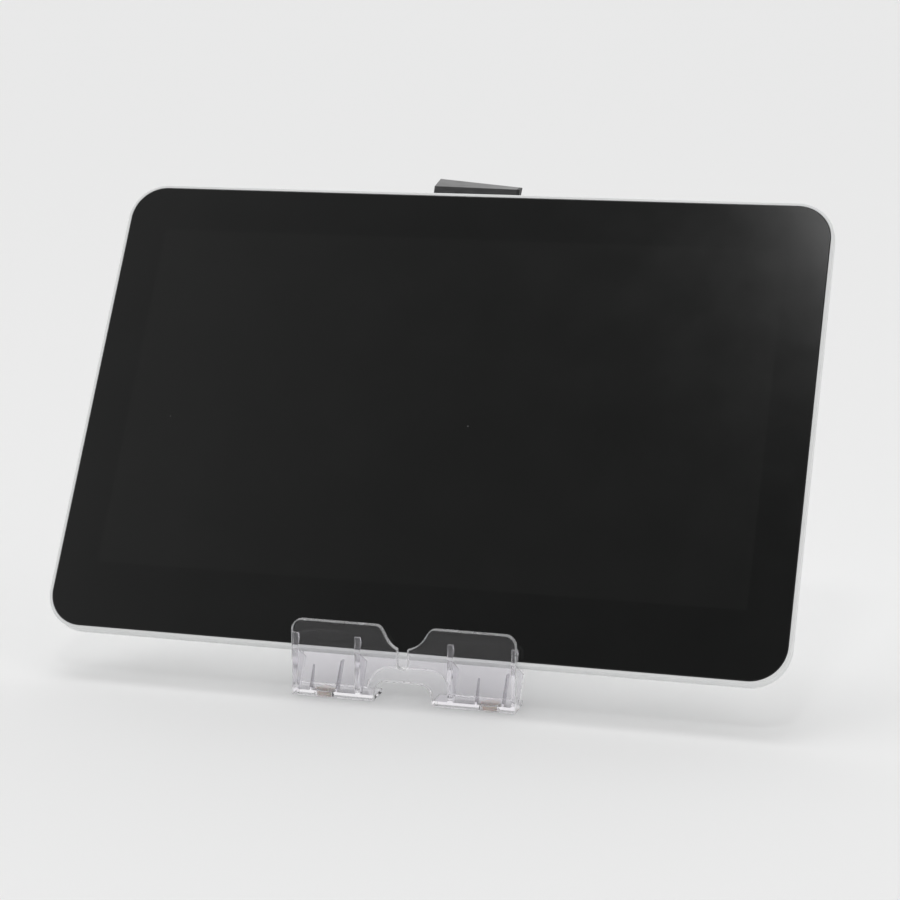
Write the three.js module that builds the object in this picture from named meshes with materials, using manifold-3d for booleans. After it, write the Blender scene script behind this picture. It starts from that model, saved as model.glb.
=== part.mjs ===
// Slim pen and touch display that leans on a clear moulded easel stand.
// Millimetres. +X is to the right of someone facing the screen, -Y is towards them, +Z is up.
// The table is z = 0, and the origin is below the middle of the whole object.
import * as THREE from "three";
import { mergeVertices } from "three/addons/utils/BufferGeometryUtils.js";
import Module from "manifold-3d";

const wasm = await Module();
wasm.setup();

// Display, seen square on
const TILT = THREE.MathUtils.degToRad(58.06); // the screen's plane above the table
const EDGE_HEIGHT = 21.0; // lower front edge above the table
const GLASS_WIDTH = 331.3;
const GLASS_HEIGHT = 217.1;
const GLASS_RADIUS = 15.8;
const GLASS_THICK = 0.9;
const RIM = 1.7; // white border round the glass
const FIT = 0.3; // clearance between neighbouring pieces
const BODY_WIDTH = GLASS_WIDTH + 2 * RIM;
const BODY_HEIGHT = GLASS_HEIGHT + 2 * RIM;
const BODY_RADIUS = GLASS_RADIUS + RIM;
const BODY_DEPTH = 11.8;
const FRAME_FRONT = -0.2; // the frame sits just below the glass face
const FRAME_BACK = -3.2;
const LEDGE_DEPTH = -1.7; // shelf that carries the glass
const LEDGE_INSET = 5.0;
const COVER_TAPER = 12.0; // how far the back pulls in from the sides
const COVER_TAPER_DEPTH = 6.6;
const COVER_WALL = 1.8;
const COVER_FLOOR = 1.6;
const POCKET_TAPER = 8.0; // the same curve inside the cover
const CORNER_STEPS = 7;

// Panel stack: module outline and the depth of each layer below the glass face
const ACTIVE_WIDTH = 294.0;
const ACTIVE_HEIGHT = 165.4;
const ACTIVE_LIFT = 4.25; // the picture sits above the middle of the glass
const MODULE_MARGIN = 3.6;

// Fixings on the back, mirrored into the four corners
const SCREW_X = 120.0;
const SCREW_Y = 94.5;
const FOOT_Y = 92.0;
const FOOT_LENGTH = 44.0;
const FOOT_WIDTH = 10.0;
const FOOT_POCKET = 0.5;
const FOOT_PROUD = 0.7;
const POST_RADIUS = 3.0;
const POST_BORE = 1.3;
const POST_WEB_HALF = 1.2;
const SCREW_HEAD_SEAT = 2.6;
const SCREW_CLEAR = 1.4;

// Controls on the upper edge, and sockets on the left edge
const BUTTON_X = 110.0;
const SWITCH_X = 138.0;
const LIGHT_X = 98.0;
const CONTROL_Z = -5.9;
const CONTROL_INNER = 5.2; // foot of each control below the upper edge
const SWITCH_TRAVEL = 3.0;
const BUTTON_CAP = [10.0, 2.6, 1.25]; // length, width, corner radius
const BUTTON_OPENING = [10.8, 3.2, 1.55];
const BUTTON_FLANGE = [12.6, 3.6, 0.6];
const BUTTON_PROUD = 0.4;
const SWITCH_KNOB = [4.0, 2.1, 0.4];
const SWITCH_OPENING = [SWITCH_KNOB[0] + SWITCH_TRAVEL + 0.7, 2.8, 0.4];
const SWITCH_SLIDER = [8.0, 3.6, 0.5];
const SWITCH_PROUD = 0.3;
const FLANGE_THICK = 1.2;
const LIGHT_GUIDE = [1.3, 1.3, 0.6];
const LIGHT_OPENING = [2.0, 2.0, 0.95];
const PORT_Y = [72.0, 50.0];
const PORT_Z = -7.4;
const PORT_WIDTH = 8.9;
const PORT_HEIGHT = 3.2;
const PORT_LENGTH = 7.4;

// Pen loop on the upper edge
const LOOP_LEFT = -20.4;
const LOOP_RIGHT = 20.6;
const LOOP_FRONT = -6.0;
const LOOP_CREASE = 5.1;
const LOOP_RIDGE_END = 0.4; // ridge height left at the narrow end, as a share
const LOOP_DEPTH_END = 0.55; // depth left at the narrow end, as a share
const LOOP_SECTION = [
  [0.4, -6.6], [0.4, -11.6], [13.3, -14.1], [13.85, -13.5], [13.2, -12.7], [6.2, LOOP_FRONT],
];
const LOOP_TUNNEL = [[1.3, -7.6], [1.3, -10.9], [11.3, -12.7], [5.9, -7.2]];
const LOOP_CLOSED = 2.6; // length pinched shut at the narrow end
const LOOP_TAB_Z = [-8.9, -7.7];
const LOOP_TAB_HALF = 17.7;

// Stand
const STAND_SHIFT = 2.7; // the display is set down slightly off the stand's middle
const STAND_HALF = 50.2;
const SHEET = 2.6; // wall of the mouldings
const FRONT_REAR_FACE = -0.8;
const PLATE_GRIP = -1.2; // ribs, soles and webs start this far back, inside the front plate
const SOLE_HEIGHT = 0.5; // mouldings stand this far above the table on their pads
const PLATE_TOP = EDGE_HEIGHT + 13.7;
const SHOULDER_X = 45.2;
const LOBE_LEFT = 12.0; // inner top corners of the two lobes
const LOBE_RIGHT = 14.6;
const NOTCH_HALF = 2.25;
const NOTCH_BOTTOM = EDGE_HEIGHT - 3.0;
const NOTCH_TOP = EDGE_HEIGHT + 3.6;
const ARCH_HALF = 13.0;
const ARCH_TOP = 9.6;
const ARCH_RADIUS = 6.0;
const RIB_X = [-48.95, -20.8, 20.8, 48.95];
const RIB_THICK = 2.5;
const RIB_TOP = EDGE_HEIGHT + 7.0;
const SOLE_DEPTH = 9.8;
const SOLE_THICK = 2.0;
const PAD_X = 37.3;
const PAD_Y = 5.0;
const PAD_RADIUS = 4.35;
const PAD_SINK = 1.1;
const WEB_THICK = 1.0; // thin webs that stiffen each sole beside its pad
const GUSSET_OFFSET = -5.0;
const GUSSET_TOP = [4.4, 12.8];
const LEANING_WEB_OFFSET = 6.75;
const LEANING_WEB_TOP = 14.2;
const LEANING_WEB_DEPTH = 3.0;
const BACK_FACE = 12.3; // back plate's front face, behind the glass face
const BACK_BOTTOM = -11.9; // along the slope, from the display's lower edge
const BACK_TOP = 150.0;
const BACK_TOP_HALF = 30.0;
const BACK_ARCH_HALF = 18.0;
const HINGE_UP = 120.0; // along the slope
const HINGE_BACK = 18.6; // behind the glass face
const KNUCKLE_RADIUS = 3.4;
const PIN_RADIUS = 1.5;
const EAR_INNER = 14.3;
const EAR_OUTER = 22.0;
const STRUT_OPEN = THREE.MathUtils.degToRad(49); // from folded flat to standing
const STRUT_HALF = 26.0;
const STRUT_START = 4.6; // the wide part begins this far below the pin
const STRUT_FOOT_Y = 114.0;
const FOOT_PAD_HALF = [24.0, 3.4];

const COLOURS = {
  whitePlastic: { color: 0xd6d9d7, roughness: 0.5, metalness: 0.0 },
  blackGlass: { color: 0x0b0c0c, roughness: 0.35, metalness: 0.0 },
  darkPlastic: { color: 0x1c1d1e, roughness: 0.6, metalness: 0.0 },
  rubber: { color: 0x2b2c2d, roughness: 0.9, metalness: 0.0 },
  leather: { color: 0x232425, roughness: 0.55, metalness: 0.0 },
  film: { color: 0x9aa3a8, roughness: 0.3, metalness: 0.0 },
  board: { color: 0x1d4a33, roughness: 0.6, metalness: 0.0 },
  steel: { color: 0xaab0b4, roughness: 0.35, metalness: 1.0 },
  amber: { color: 0xb08a5a, roughness: 0.8, metalness: 0.0 },
  cable: { color: 0xb8792c, roughness: 0.5, metalness: 0.0 },
  clear: { color: 0xe6ecee, roughness: 0.05, metalness: 0.0, transparent: true, opacity: 0.35 },
};

// ---- shape tools ----------------------------------------------------------

function roundedRect(width, height, radius, x = 0, y = 0) {
  const left = x - width / 2;
  const right = x + width / 2;
  const low = y - height / 2;
  const high = y + height / 2;
  const shape = new THREE.Shape();
  shape.moveTo(left + radius, low);
  shape.lineTo(right - radius, low);
  shape.absarc(right - radius, low + radius, radius, -Math.PI / 2, 0, false);
  shape.lineTo(right, high - radius);
  shape.absarc(right - radius, high - radius, radius, 0, Math.PI / 2, false);
  shape.lineTo(left + radius, high);
  shape.absarc(left + radius, high - radius, radius, Math.PI / 2, Math.PI, false);
  shape.lineTo(left, low + radius);
  shape.absarc(left + radius, low + radius, radius, Math.PI, 1.5 * Math.PI, false);
  return shape;
}

function polygon(points) {
  return new THREE.Shape(points.map(([u, v]) => new THREE.Vector2(u, v)));
}

function extrude(shape, depth, curveSegments = CORNER_STEPS) {
  return new THREE.ExtrudeGeometry(shape, { depth, bevelEnabled: false, curveSegments });
}

// Flat slab in the XY plane between two heights.
function slab(shape, low, high, curveSegments) {
  return extrude(shape, high - low, curveSegments).translate(0, 0, low);
}

// Rounded-edge block of the given outer outline. The rounding is wide in XY and deep in Z.
function softBlock(width, height, radius, low, high, wide, deep, steps) {
  const core = roundedRect(width - 2 * wide, height - 2 * wide, Math.max(radius - wide, 0.5));
  const geometry = new THREE.ExtrudeGeometry(core, {
    depth: high - low - 2 * deep,
    bevelEnabled: true,
    bevelThickness: deep,
    bevelSize: wide,
    bevelSegments: steps,
    curveSegments: CORNER_STEPS,
  });
  return geometry.translate(0, 0, low + deep);
}

// Profile drawn as (y, z), swept along X.
function sweepX(shape, from, to, curveSegments) {
  const turn = new THREE.Matrix4().makeBasis(
    new THREE.Vector3(0, 1, 0),
    new THREE.Vector3(0, 0, 1),
    new THREE.Vector3(1, 0, 0),
  );
  return extrude(shape, to - from, curveSegments).applyMatrix4(turn).translate(from, 0, 0);
}

// Profile drawn as (x, z), swept along Y.
function sweepY(shape, from, to, curveSegments) {
  const turn = new THREE.Matrix4().makeBasis(
    new THREE.Vector3(1, 0, 0),
    new THREE.Vector3(0, 0, 1),
    new THREE.Vector3(0, -1, 0),
  );
  return extrude(shape, to - from, curveSegments).applyMatrix4(turn).translate(0, to, 0);
}

function rod(radius, low, high, x, y, sides = 20) {
  const geometry = new THREE.CylinderGeometry(radius, radius, high - low, sides);
  return geometry.rotateX(Math.PI / 2).translate(x, y, (low + high) / 2);
}

function block(xs, ys, zs) {
  const geometry = new THREE.BoxGeometry(xs[1] - xs[0], ys[1] - ys[0], zs[1] - zs[0]);
  return geometry.translate((xs[0] + xs[1]) / 2, (ys[0] + ys[1]) / 2, (zs[0] + zs[1]) / 2);
}

function toManifold(geometry) {
  const bare = geometry.clone();
  bare.deleteAttribute("normal");
  bare.deleteAttribute("uv");
  const merged = mergeVertices(bare, 1e-4);
  return new wasm.Manifold(new wasm.Mesh({
    numProp: 3,
    vertProperties: new Float32Array(merged.attributes.position.array),
    triVerts: new Uint32Array(merged.index.array),
  }));
}

function toGeometry(manifold) {
  const mesh = manifold.getMesh();
  const geometry = new THREE.BufferGeometry();
  geometry.setAttribute("position", new THREE.BufferAttribute(mesh.vertProperties, 3));
  geometry.setIndex(new THREE.BufferAttribute(mesh.triVerts, 1));
  geometry.computeVertexNormals();
  return geometry;
}

function join(...geometries) {
  return toGeometry(geometries.map(toManifold).reduce((all, next) => all.add(next)));
}

function cut(base, ...tools) {
  return toGeometry(tools.map(toManifold).reduce((left, tool) => left.subtract(tool), toManifold(base)));
}

function add(group, name, finish, geometry) {
  const mesh = new THREE.Mesh(geometry, new THREE.MeshStandardMaterial(COLOURS[finish]));
  mesh.name = name;
  group.add(mesh);
  return mesh;
}

function corners(x, y) {
  return [[-x, -y], [x, -y], [-x, y], [x, y]];
}

// ---- display: glass face at z = 0, middle of the glass at the group's origin ----

function coverGlass() {
  return softBlock(GLASS_WIDTH, GLASS_HEIGHT, GLASS_RADIUS, -GLASS_THICK, 0, 0.3, 0.3, 1);
}

function glassGasket() {
  const ring = roundedRect(GLASS_WIDTH - 1, GLASS_HEIGHT - 1, GLASS_RADIUS - 0.5);
  ring.holes.push(roundedRect(GLASS_WIDTH - 6, GLASS_HEIGHT - 6, GLASS_RADIUS - 3));
  return slab(ring, LEDGE_DEPTH + 0.2, -GLASS_THICK - 0.2);
}

// White border: a ring with a shelf for the glass, and four posts that take the cover screws.
function frontFrame() {
  const outer = softBlock(BODY_WIDTH, BODY_HEIGHT, BODY_RADIUS, FRAME_BACK - 2, FRAME_FRONT, 0.7, 0.7, 2);
  const backCut = slab(roundedRect(400, 300, 5), FRAME_BACK - 4, FRAME_BACK);
  const glassPocket = slab(
    roundedRect(GLASS_WIDTH + 2 * FIT, GLASS_HEIGHT + 2 * FIT, GLASS_RADIUS + FIT), LEDGE_DEPTH, 1);
  const window = slab(
    roundedRect(BODY_WIDTH - 2 * LEDGE_INSET, BODY_HEIGHT - 2 * LEDGE_INSET, BODY_RADIUS - LEDGE_INSET),
    FRAME_BACK - 3, 1);
  const ring = cut(outer, backCut, glassPocket, window);
  const postEnd = -BODY_DEPTH + COVER_FLOOR + FIT;
  const posts = corners(SCREW_X, SCREW_Y).flatMap(([x, y]) => {
    const webEnd = Math.sign(y) * (BODY_HEIGHT / 2 - LEDGE_INSET + 1);
    const web = block([x - POST_WEB_HALF, x + POST_WEB_HALF], [Math.min(y, webEnd), Math.max(y, webEnd)],
      [-8, FRAME_BACK + 1]);
    return [rod(POST_RADIUS, postEnd, FRAME_BACK + 1, x, y), web];
  });
  const holes = corners(SCREW_X, SCREW_Y).map(([x, y]) => rod(POST_BORE, postEnd - 1, -4.6, x, y, 12));
  return cut(join(ring, ...posts), ...holes);
}

// Layers of the panel, each a little smaller than the module outline.
function panelLayer(trim, low, high) {
  const width = ACTIVE_WIDTH + 2 * MODULE_MARGIN - trim;
  const height = ACTIVE_HEIGHT + 2 * MODULE_MARGIN - trim;
  return slab(roundedRect(width, height, 1.5, 0, ACTIVE_LIFT), low, high, 2);
}

function shieldPlate() {
  const plate = panelLayer(2, -7.2, -6.7);
  const windows = [-90, -30, 30, 90].map((x) => slab(roundedRect(34, 20, 4, x, -20), -8, -6, 3));
  return cut(plate, ...windows);
}

function mainBoard() {
  const board = block([-157, -50], [30, 86], [-9.6, -8.6]);
  const notches = [[-50, 86], [-50, 30]].map(([x, y]) => rod(3, -10, -8, x, y, 12));
  return cut(board, ...notches);
}

function lcdFlex() {
  return sweepX(polygon([
    [-82.7, -2.9], [-86.6, -2.9], [-86.6, -8.3], [-60, -8.3],
    [-60, -8.0], [-86.3, -8.0], [-86.3, -3.2], [-82.7, -3.2],
  ]), -22, 22);
}

// Socket: a flattened tube closed at the inner end, with the contact tongue standing in it.
function usbPort(y) {
  const outline = roundedRect(PORT_WIDTH, PORT_HEIGHT, PORT_HEIGHT / 2 - 0.05, y, PORT_Z);
  const mouth = roundedRect(PORT_WIDTH - 0.6, PORT_HEIGHT - 0.6, PORT_HEIGHT / 2 - 0.35, y, PORT_Z);
  const left = -BODY_WIDTH / 2 + 2.4;
  const shell = cut(sweepX(outline, left, left + PORT_LENGTH, 4), sweepX(mouth, left - 1, left + 6.4, 4));
  const tongue = block([left + 0.9, left + 7], [y - 3.3, y + 3.3], [PORT_Z - 0.35, PORT_Z + 0.35]);
  return join(shell, tongue);
}

// White shell: straight beside the frame, then curving in to a flat back.
function rearCover() {
  const front = FRAME_BACK - FIT;
  const bulge = softBlock(
    BODY_WIDTH, BODY_HEIGHT, BODY_RADIUS, -BODY_DEPTH, 8, COVER_TAPER, COVER_TAPER_DEPTH, 6);
  const trimmed = cut(bulge, slab(roundedRect(400, 300, 5), front, 12));
  const pocket = softBlock(
    BODY_WIDTH - 2 * COVER_WALL, BODY_HEIGHT - 2 * COVER_WALL, BODY_RADIUS - COVER_WALL,
    -BODY_DEPTH + COVER_FLOOR, 8, POCKET_TAPER, COVER_TAPER_DEPTH - COVER_FLOOR, 5);
  const top = BODY_HEIGHT / 2;
  const openings = [
    block([-18, 18], [top - 6.5, top + 2], [LOOP_TAB_Z[0] - FIT, LOOP_TAB_Z[1] + FIT]),
    sweepY(roundedRect(...BUTTON_OPENING, BUTTON_X, CONTROL_Z), top - 4, top + 2, 4),
    sweepY(roundedRect(...SWITCH_OPENING, SWITCH_X + SWITCH_TRAVEL / 2, CONTROL_Z), top - 4, top + 2, 2),
    sweepY(roundedRect(...LIGHT_OPENING, LIGHT_X, CONTROL_Z), top - 4, top + 2, 3),
    ...PORT_Y.map((y) => sweepX(
      roundedRect(PORT_WIDTH + 0.8, PORT_HEIGHT + 0.8, PORT_HEIGHT / 2, y, PORT_Z),
      -BODY_WIDTH / 2 - 2, -BODY_WIDTH / 2 + 12, 4)),
    ...corners(SCREW_X, FOOT_Y).map(([x, y]) => slab(
      roundedRect(FOOT_LENGTH + 0.6, FOOT_WIDTH + 0.6, FOOT_WIDTH / 2, x, y),
      -BODY_DEPTH - 1, -BODY_DEPTH + FOOT_POCKET, 4)),
    ...corners(SCREW_X, SCREW_Y).flatMap(([x, y]) => [
      rod(SCREW_HEAD_SEAT, -BODY_DEPTH - 1, -BODY_DEPTH + 1.3, x, y, 16),
      rod(SCREW_CLEAR, -BODY_DEPTH - 1, -BODY_DEPTH + 3, x, y, 12)]),
  ];
  return cut(trimmed, pocket, ...openings);
}

function coverScrew() {
  const profile = [[0, 0], [2.2, 0], [2.2, 0.4], [1.0, 0.55], [1.0, 5.4], [0.5, 6.0], [0, 6.0]];
  const points = profile.map(([r, h]) => new THREE.Vector2(r, h));
  return new THREE.LatheGeometry(points, 14).rotateX(Math.PI / 2);
}

function rubberFoot(x, y) {
  const low = -BODY_DEPTH - FOOT_PROUD;
  return slab(roundedRect(FOOT_LENGTH, FOOT_WIDTH, FOOT_WIDTH / 2 - 0.05, x, y), low,
    -BODY_DEPTH + FOOT_POCKET - 0.15, 4);
}

function powerButton() {
  const top = BODY_HEIGHT / 2;
  const low = top - CONTROL_INNER;
  const cap = sweepY(roundedRect(...BUTTON_CAP, BUTTON_X, CONTROL_Z), low, top + BUTTON_PROUD, 4);
  const flange = sweepY(roundedRect(...BUTTON_FLANGE, BUTTON_X, CONTROL_Z), low, low + FLANGE_THICK, 2);
  return join(cap, flange);
}

function touchSwitch() {
  const top = BODY_HEIGHT / 2;
  const low = top - CONTROL_INNER;
  const knob = sweepY(roundedRect(...SWITCH_KNOB, SWITCH_X, CONTROL_Z), low, top + SWITCH_PROUD, 2);
  const slider = sweepY(roundedRect(...SWITCH_SLIDER, SWITCH_X, CONTROL_Z), low, low + FLANGE_THICK, 2);
  const grips = [-1, 0, 1].map((n) => block(
    [SWITCH_X + n * 1.1 - 0.2, SWITCH_X + n * 1.1 + 0.2], [top + 0.05, top + 1],
    [CONTROL_Z - 2, CONTROL_Z + 2]));
  return cut(join(knob, slider), ...grips);
}

function statusLight() {
  const top = BODY_HEIGHT / 2;
  return sweepY(roundedRect(...LIGHT_GUIDE, LIGHT_X, CONTROL_Z), top - 3.0, top - 0.2, 3);
}

// Loop of folded band. Its left mouth is the full section, and ridge and depth shrink to the right.
function loopBody(section, from, to) {
  const geometry = sweepX(polygon(section), from, to);
  const place = geometry.attributes.position;
  for (let i = 0; i < place.count; i += 1) {
    const along = (place.getX(i) - LOOP_LEFT) / (LOOP_RIGHT - LOOP_LEFT);
    const ridgeShare = 1 - along * (1 - LOOP_RIDGE_END);
    const depthShare = 1 - along * (1 - LOOP_DEPTH_END);
    const rise = Math.max(place.getY(i) - LOOP_CREASE, 0);
    place.setY(i, place.getY(i) - rise * (1 - ridgeShare));
    place.setZ(i, LOOP_FRONT + (place.getZ(i) - LOOP_FRONT) * depthShare);
  }
  return geometry.translate(0, BODY_HEIGHT / 2, 0);
}

function penLoop() {
  const top = BODY_HEIGHT / 2;
  const tab = block([-LOOP_TAB_HALF, LOOP_TAB_HALF], [top - 6.8, top + 0.8], LOOP_TAB_Z);
  const bead = block([-LOOP_TAB_HALF, LOOP_TAB_HALF], [top - 8, top - 6.6], [-9.4, -7.4]);
  const band = loopBody(LOOP_SECTION, LOOP_LEFT, LOOP_RIGHT);
  const tunnel = loopBody(LOOP_TUNNEL, LOOP_LEFT - 1, LOOP_RIGHT - LOOP_CLOSED);
  return join(cut(band, tunnel), tab, bead);
}

function buildDisplay() {
  const display = new THREE.Group();
  add(display, "cover_glass", "blackGlass", coverGlass());
  add(display, "glass_gasket", "darkPlastic", glassGasket());
  add(display, "front_frame", "whitePlastic", frontFrame());
  add(display, "touch_sensor", "film", panelLayer(0, -1.5, -1.2));
  add(display, "lcd_panel", "film", panelLayer(0, -2.8, -1.8));
  add(display, "backlight_unit", "darkPlastic", panelLayer(2, -5.0, -3.4));
  const belowModule = ACTIVE_LIFT - ACTIVE_HEIGHT / 2 - MODULE_MARGIN;
  add(display, "backlight_led_bar", "steel", block(
    [-145, -25], [belowModule - 2.2, belowModule - 0.4], [-5, -3.6]));
  add(display, "pen_sensor_board", "board", panelLayer(4, -6.3, -5.4));
  add(display, "shield_plate", "steel", shieldPlate());
  add(display, "main_board", "board", mainBoard());
  add(display, "main_board_can", "steel", block([-120, -84], [44, 72], [-8.3, -7.5]));
  add(display, "lcd_driver_board", "board", block([-60, 60], [-59.7, -44], [-9.0, -8.0]));
  add(display, "lcd_flex_cable", "cable", lcdFlex());
  add(display, "board_link_cable", "cable", block([-60, -52], [-43.7, 29.7], [-9.3, -8.9]));
  PORT_Y.forEach((y, n) => add(display, `usb_c_port_${n + 1}`, "steel", usbPort(y)));
  add(display, "rear_cover", "whitePlastic", rearCover());
  corners(SCREW_X, SCREW_Y).forEach(([x, y], n) => {
    add(display, `cover_screw_${n + 1}`, "steel", coverScrew()).position.set(x, y, -BODY_DEPTH + 0.6);
  });
  corners(SCREW_X, FOOT_Y).forEach(([x, y], n) => {
    add(display, `rubber_foot_${n + 1}`, "rubber", rubberFoot(x, y));
  });
  add(display, "power_button", "whitePlastic", powerButton());
  add(display, "touch_switch", "darkPlastic", touchSwitch());
  add(display, "status_light", "film", statusLight());
  add(display, "pen_loop", "leather", penLoop());
  display.position.y = BODY_HEIGHT / 2;
  return display;
}

// ---- stand ------------------------------------------------------------------

// A point given up the slope and behind the glass face, as (y, z) in the upright stand.
function fromSlope(up, behind) {
  return [
    up * Math.cos(TILT) + behind * Math.sin(TILT),
    EDGE_HEIGHT + up * Math.sin(TILT) - behind * Math.cos(TILT),
  ];
}

// The other way round: an upright (y, z) as (up the slope, out of the glass face).
function toSlope(y, z) {
  const rise = z - EDGE_HEIGHT;
  return [y * Math.cos(TILT) + rise * Math.sin(TILT), rise * Math.cos(TILT) - y * Math.sin(TILT)];
}

// Front plate: two rounded lobes with a dip and a slot between them, and an arch at the bottom.
function frontPlateOutline() {
  const shape = new THREE.Shape();
  shape.moveTo(-STAND_HALF, SOLE_HEIGHT);
  shape.lineTo(-ARCH_HALF, SOLE_HEIGHT);
  shape.lineTo(-ARCH_HALF, ARCH_TOP - ARCH_RADIUS);
  shape.absarc(-ARCH_HALF + ARCH_RADIUS, ARCH_TOP - ARCH_RADIUS, ARCH_RADIUS, Math.PI, Math.PI / 2, true);
  shape.lineTo(ARCH_HALF - ARCH_RADIUS, ARCH_TOP);
  shape.absarc(ARCH_HALF - ARCH_RADIUS, ARCH_TOP - ARCH_RADIUS, ARCH_RADIUS, Math.PI / 2, 0, true);
  shape.lineTo(ARCH_HALF, SOLE_HEIGHT);
  shape.lineTo(STAND_HALF, SOLE_HEIGHT);
  const shoulder = STAND_HALF - SHOULDER_X;
  shape.lineTo(STAND_HALF, PLATE_TOP - shoulder);
  shape.absarc(SHOULDER_X, PLATE_TOP - shoulder, shoulder, 0, Math.PI / 2, false);
  shape.lineTo(LOBE_RIGHT, PLATE_TOP);
  shape.bezierCurveTo(LOBE_RIGHT - 4.6, PLATE_TOP, LOBE_RIGHT - 3.4, NOTCH_TOP + 2.6, NOTCH_HALF, NOTCH_TOP);
  shape.lineTo(NOTCH_HALF, NOTCH_BOTTOM);
  shape.absarc(0, NOTCH_BOTTOM, NOTCH_HALF, 0, Math.PI, true);
  shape.lineTo(-NOTCH_HALF, NOTCH_TOP);
  shape.bezierCurveTo(-LOBE_LEFT + 3.4, NOTCH_TOP + 2.6, -LOBE_LEFT + 4.6, PLATE_TOP, -LOBE_LEFT, PLATE_TOP);
  shape.lineTo(-SHOULDER_X, PLATE_TOP);
  shape.absarc(-SHOULDER_X, PLATE_TOP - shoulder, shoulder, Math.PI / 2, Math.PI, false);
  return shape;
}

// Rib: carries the display's lower edge on its sloping top, and stops short of the back plate.
function ribProfile() {
  const front = PLATE_GRIP;
  const seat = -0.35;
  const rear = BACK_FACE - FIT;
  const rise = (SOLE_HEIGHT + SOLE_THICK - fromSlope(0, rear)[1]) / Math.sin(TILT);
  return polygon([
    [front, SOLE_HEIGHT], [fromSlope(rise, rear)[0], SOLE_HEIGHT], fromSlope(rise, rear),
    fromSlope(seat, rear), fromSlope(seat, -0.6), fromSlope(4.4, -0.6),
    [1.3, RIB_TOP - 0.8], [0.2, RIB_TOP], [front, RIB_TOP],
  ]);
}

// Two thin webs beside a pad: a pointed gusset, and a strip that leans along the back plate.
function padWebs(padX) {
  const rear = BACK_FACE - FIT;
  const foot = SOLE_HEIGHT + SOLE_THICK - 0.3;
  const rearAt = (z) => fromSlope((z - fromSlope(0, rear)[1]) / Math.sin(TILT), rear)[0];
  const gusset = polygon([[PLATE_GRIP, foot], [rearAt(foot), foot], GUSSET_TOP]);
  const strip = polygon([
    [PLATE_GRIP, foot], [rearAt(foot), foot], [rearAt(LEANING_WEB_TOP), LEANING_WEB_TOP],
    [rearAt(LEANING_WEB_TOP) - LEANING_WEB_DEPTH, LEANING_WEB_TOP],
  ]);
  const thin = (profile, x) => sweepX(profile, x - WEB_THICK / 2, x + WEB_THICK / 2);
  return [thin(gusset, padX + GUSSET_OFFSET), thin(strip, padX + LEANING_WEB_OFFSET)];
}

function standCradle() {
  const plate = sweepY(frontPlateOutline(), FRONT_REAR_FACE - SHEET, FRONT_REAR_FACE, 5);
  const ribs = RIB_X.map((x) => sweepX(ribProfile(), x - RIB_THICK / 2, x + RIB_THICK / 2));
  const soles = [-1, 1].map((side) => {
    const inner = side * ARCH_HALF;
    const outer = side * STAND_HALF;
    return block([Math.min(inner, outer), Math.max(inner, outer)], [PLATE_GRIP, SOLE_DEPTH],
      [SOLE_HEIGHT, SOLE_HEIGHT + SOLE_THICK]);
  });
  const webs = [-PAD_X, PAD_X].flatMap(padWebs);
  const pockets = [-PAD_X, PAD_X].map((x) => rod(
    PAD_RADIUS + FIT, -1, SOLE_HEIGHT + PAD_SINK + FIT, x, PAD_Y, 24));
  return cut(join(plate, ...ribs, ...soles, ...webs), ...pockets);
}

// Back plate, in the slope's own frame: y runs up the slope and z out of the glass face.
function backPlate() {
  const shape = new THREE.Shape();
  const archTop = -2;
  shape.moveTo(-STAND_HALF, BACK_BOTTOM);
  shape.lineTo(-BACK_ARCH_HALF, BACK_BOTTOM);
  shape.quadraticCurveTo(-BACK_ARCH_HALF, archTop, -BACK_ARCH_HALF + 9, archTop);
  shape.lineTo(BACK_ARCH_HALF - 9, archTop);
  shape.quadraticCurveTo(BACK_ARCH_HALF, archTop, BACK_ARCH_HALF, BACK_BOTTOM);
  shape.lineTo(STAND_HALF, BACK_BOTTOM);
  shape.lineTo(STAND_HALF, 12);
  shape.bezierCurveTo(STAND_HALF, 40, BACK_TOP_HALF, 50, BACK_TOP_HALF, 90);
  shape.lineTo(BACK_TOP_HALF, BACK_TOP - 12);
  shape.absarc(BACK_TOP_HALF - 12, BACK_TOP - 12, 12, 0, Math.PI / 2, false);
  shape.lineTo(-BACK_TOP_HALF + 12, BACK_TOP);
  shape.absarc(-BACK_TOP_HALF + 12, BACK_TOP - 12, 12, Math.PI / 2, Math.PI, false);
  shape.lineTo(-BACK_TOP_HALF, 90);
  shape.bezierCurveTo(-BACK_TOP_HALF, 50, -STAND_HALF, 40, -STAND_HALF, 12);
  const rearFace = -BACK_FACE - SHEET;
  const plate = slab(shape, rearFace, -BACK_FACE, 6);
  const ear = new THREE.Shape();
  ear.moveTo(HINGE_UP - KNUCKLE_RADIUS, rearFace + 0.4);
  ear.lineTo(HINGE_UP - KNUCKLE_RADIUS, -HINGE_BACK);
  ear.absarc(HINGE_UP, -HINGE_BACK, KNUCKLE_RADIUS, Math.PI, 2 * Math.PI, false);
  ear.lineTo(HINGE_UP + KNUCKLE_RADIUS, rearFace + 0.4);
  const ears = [[-EAR_OUTER, -EAR_INNER], [EAR_INNER, EAR_OUTER]].map(([from, to]) => sweepX(ear, from, to));
  const bore = rod(PIN_RADIUS + FIT, -40, 40, 0, 0).rotateY(Math.PI / 2).translate(0, HINGE_UP, -HINGE_BACK);
  return cut(join(plate, ...ears), bore);
}

function hingePin() {
  const pin = rod(PIN_RADIUS, -EAR_OUTER - 1, EAR_OUTER + 1, 0, 0);
  return pin.rotateY(Math.PI / 2).translate(0, HINGE_UP, -HINGE_BACK);
}

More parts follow.
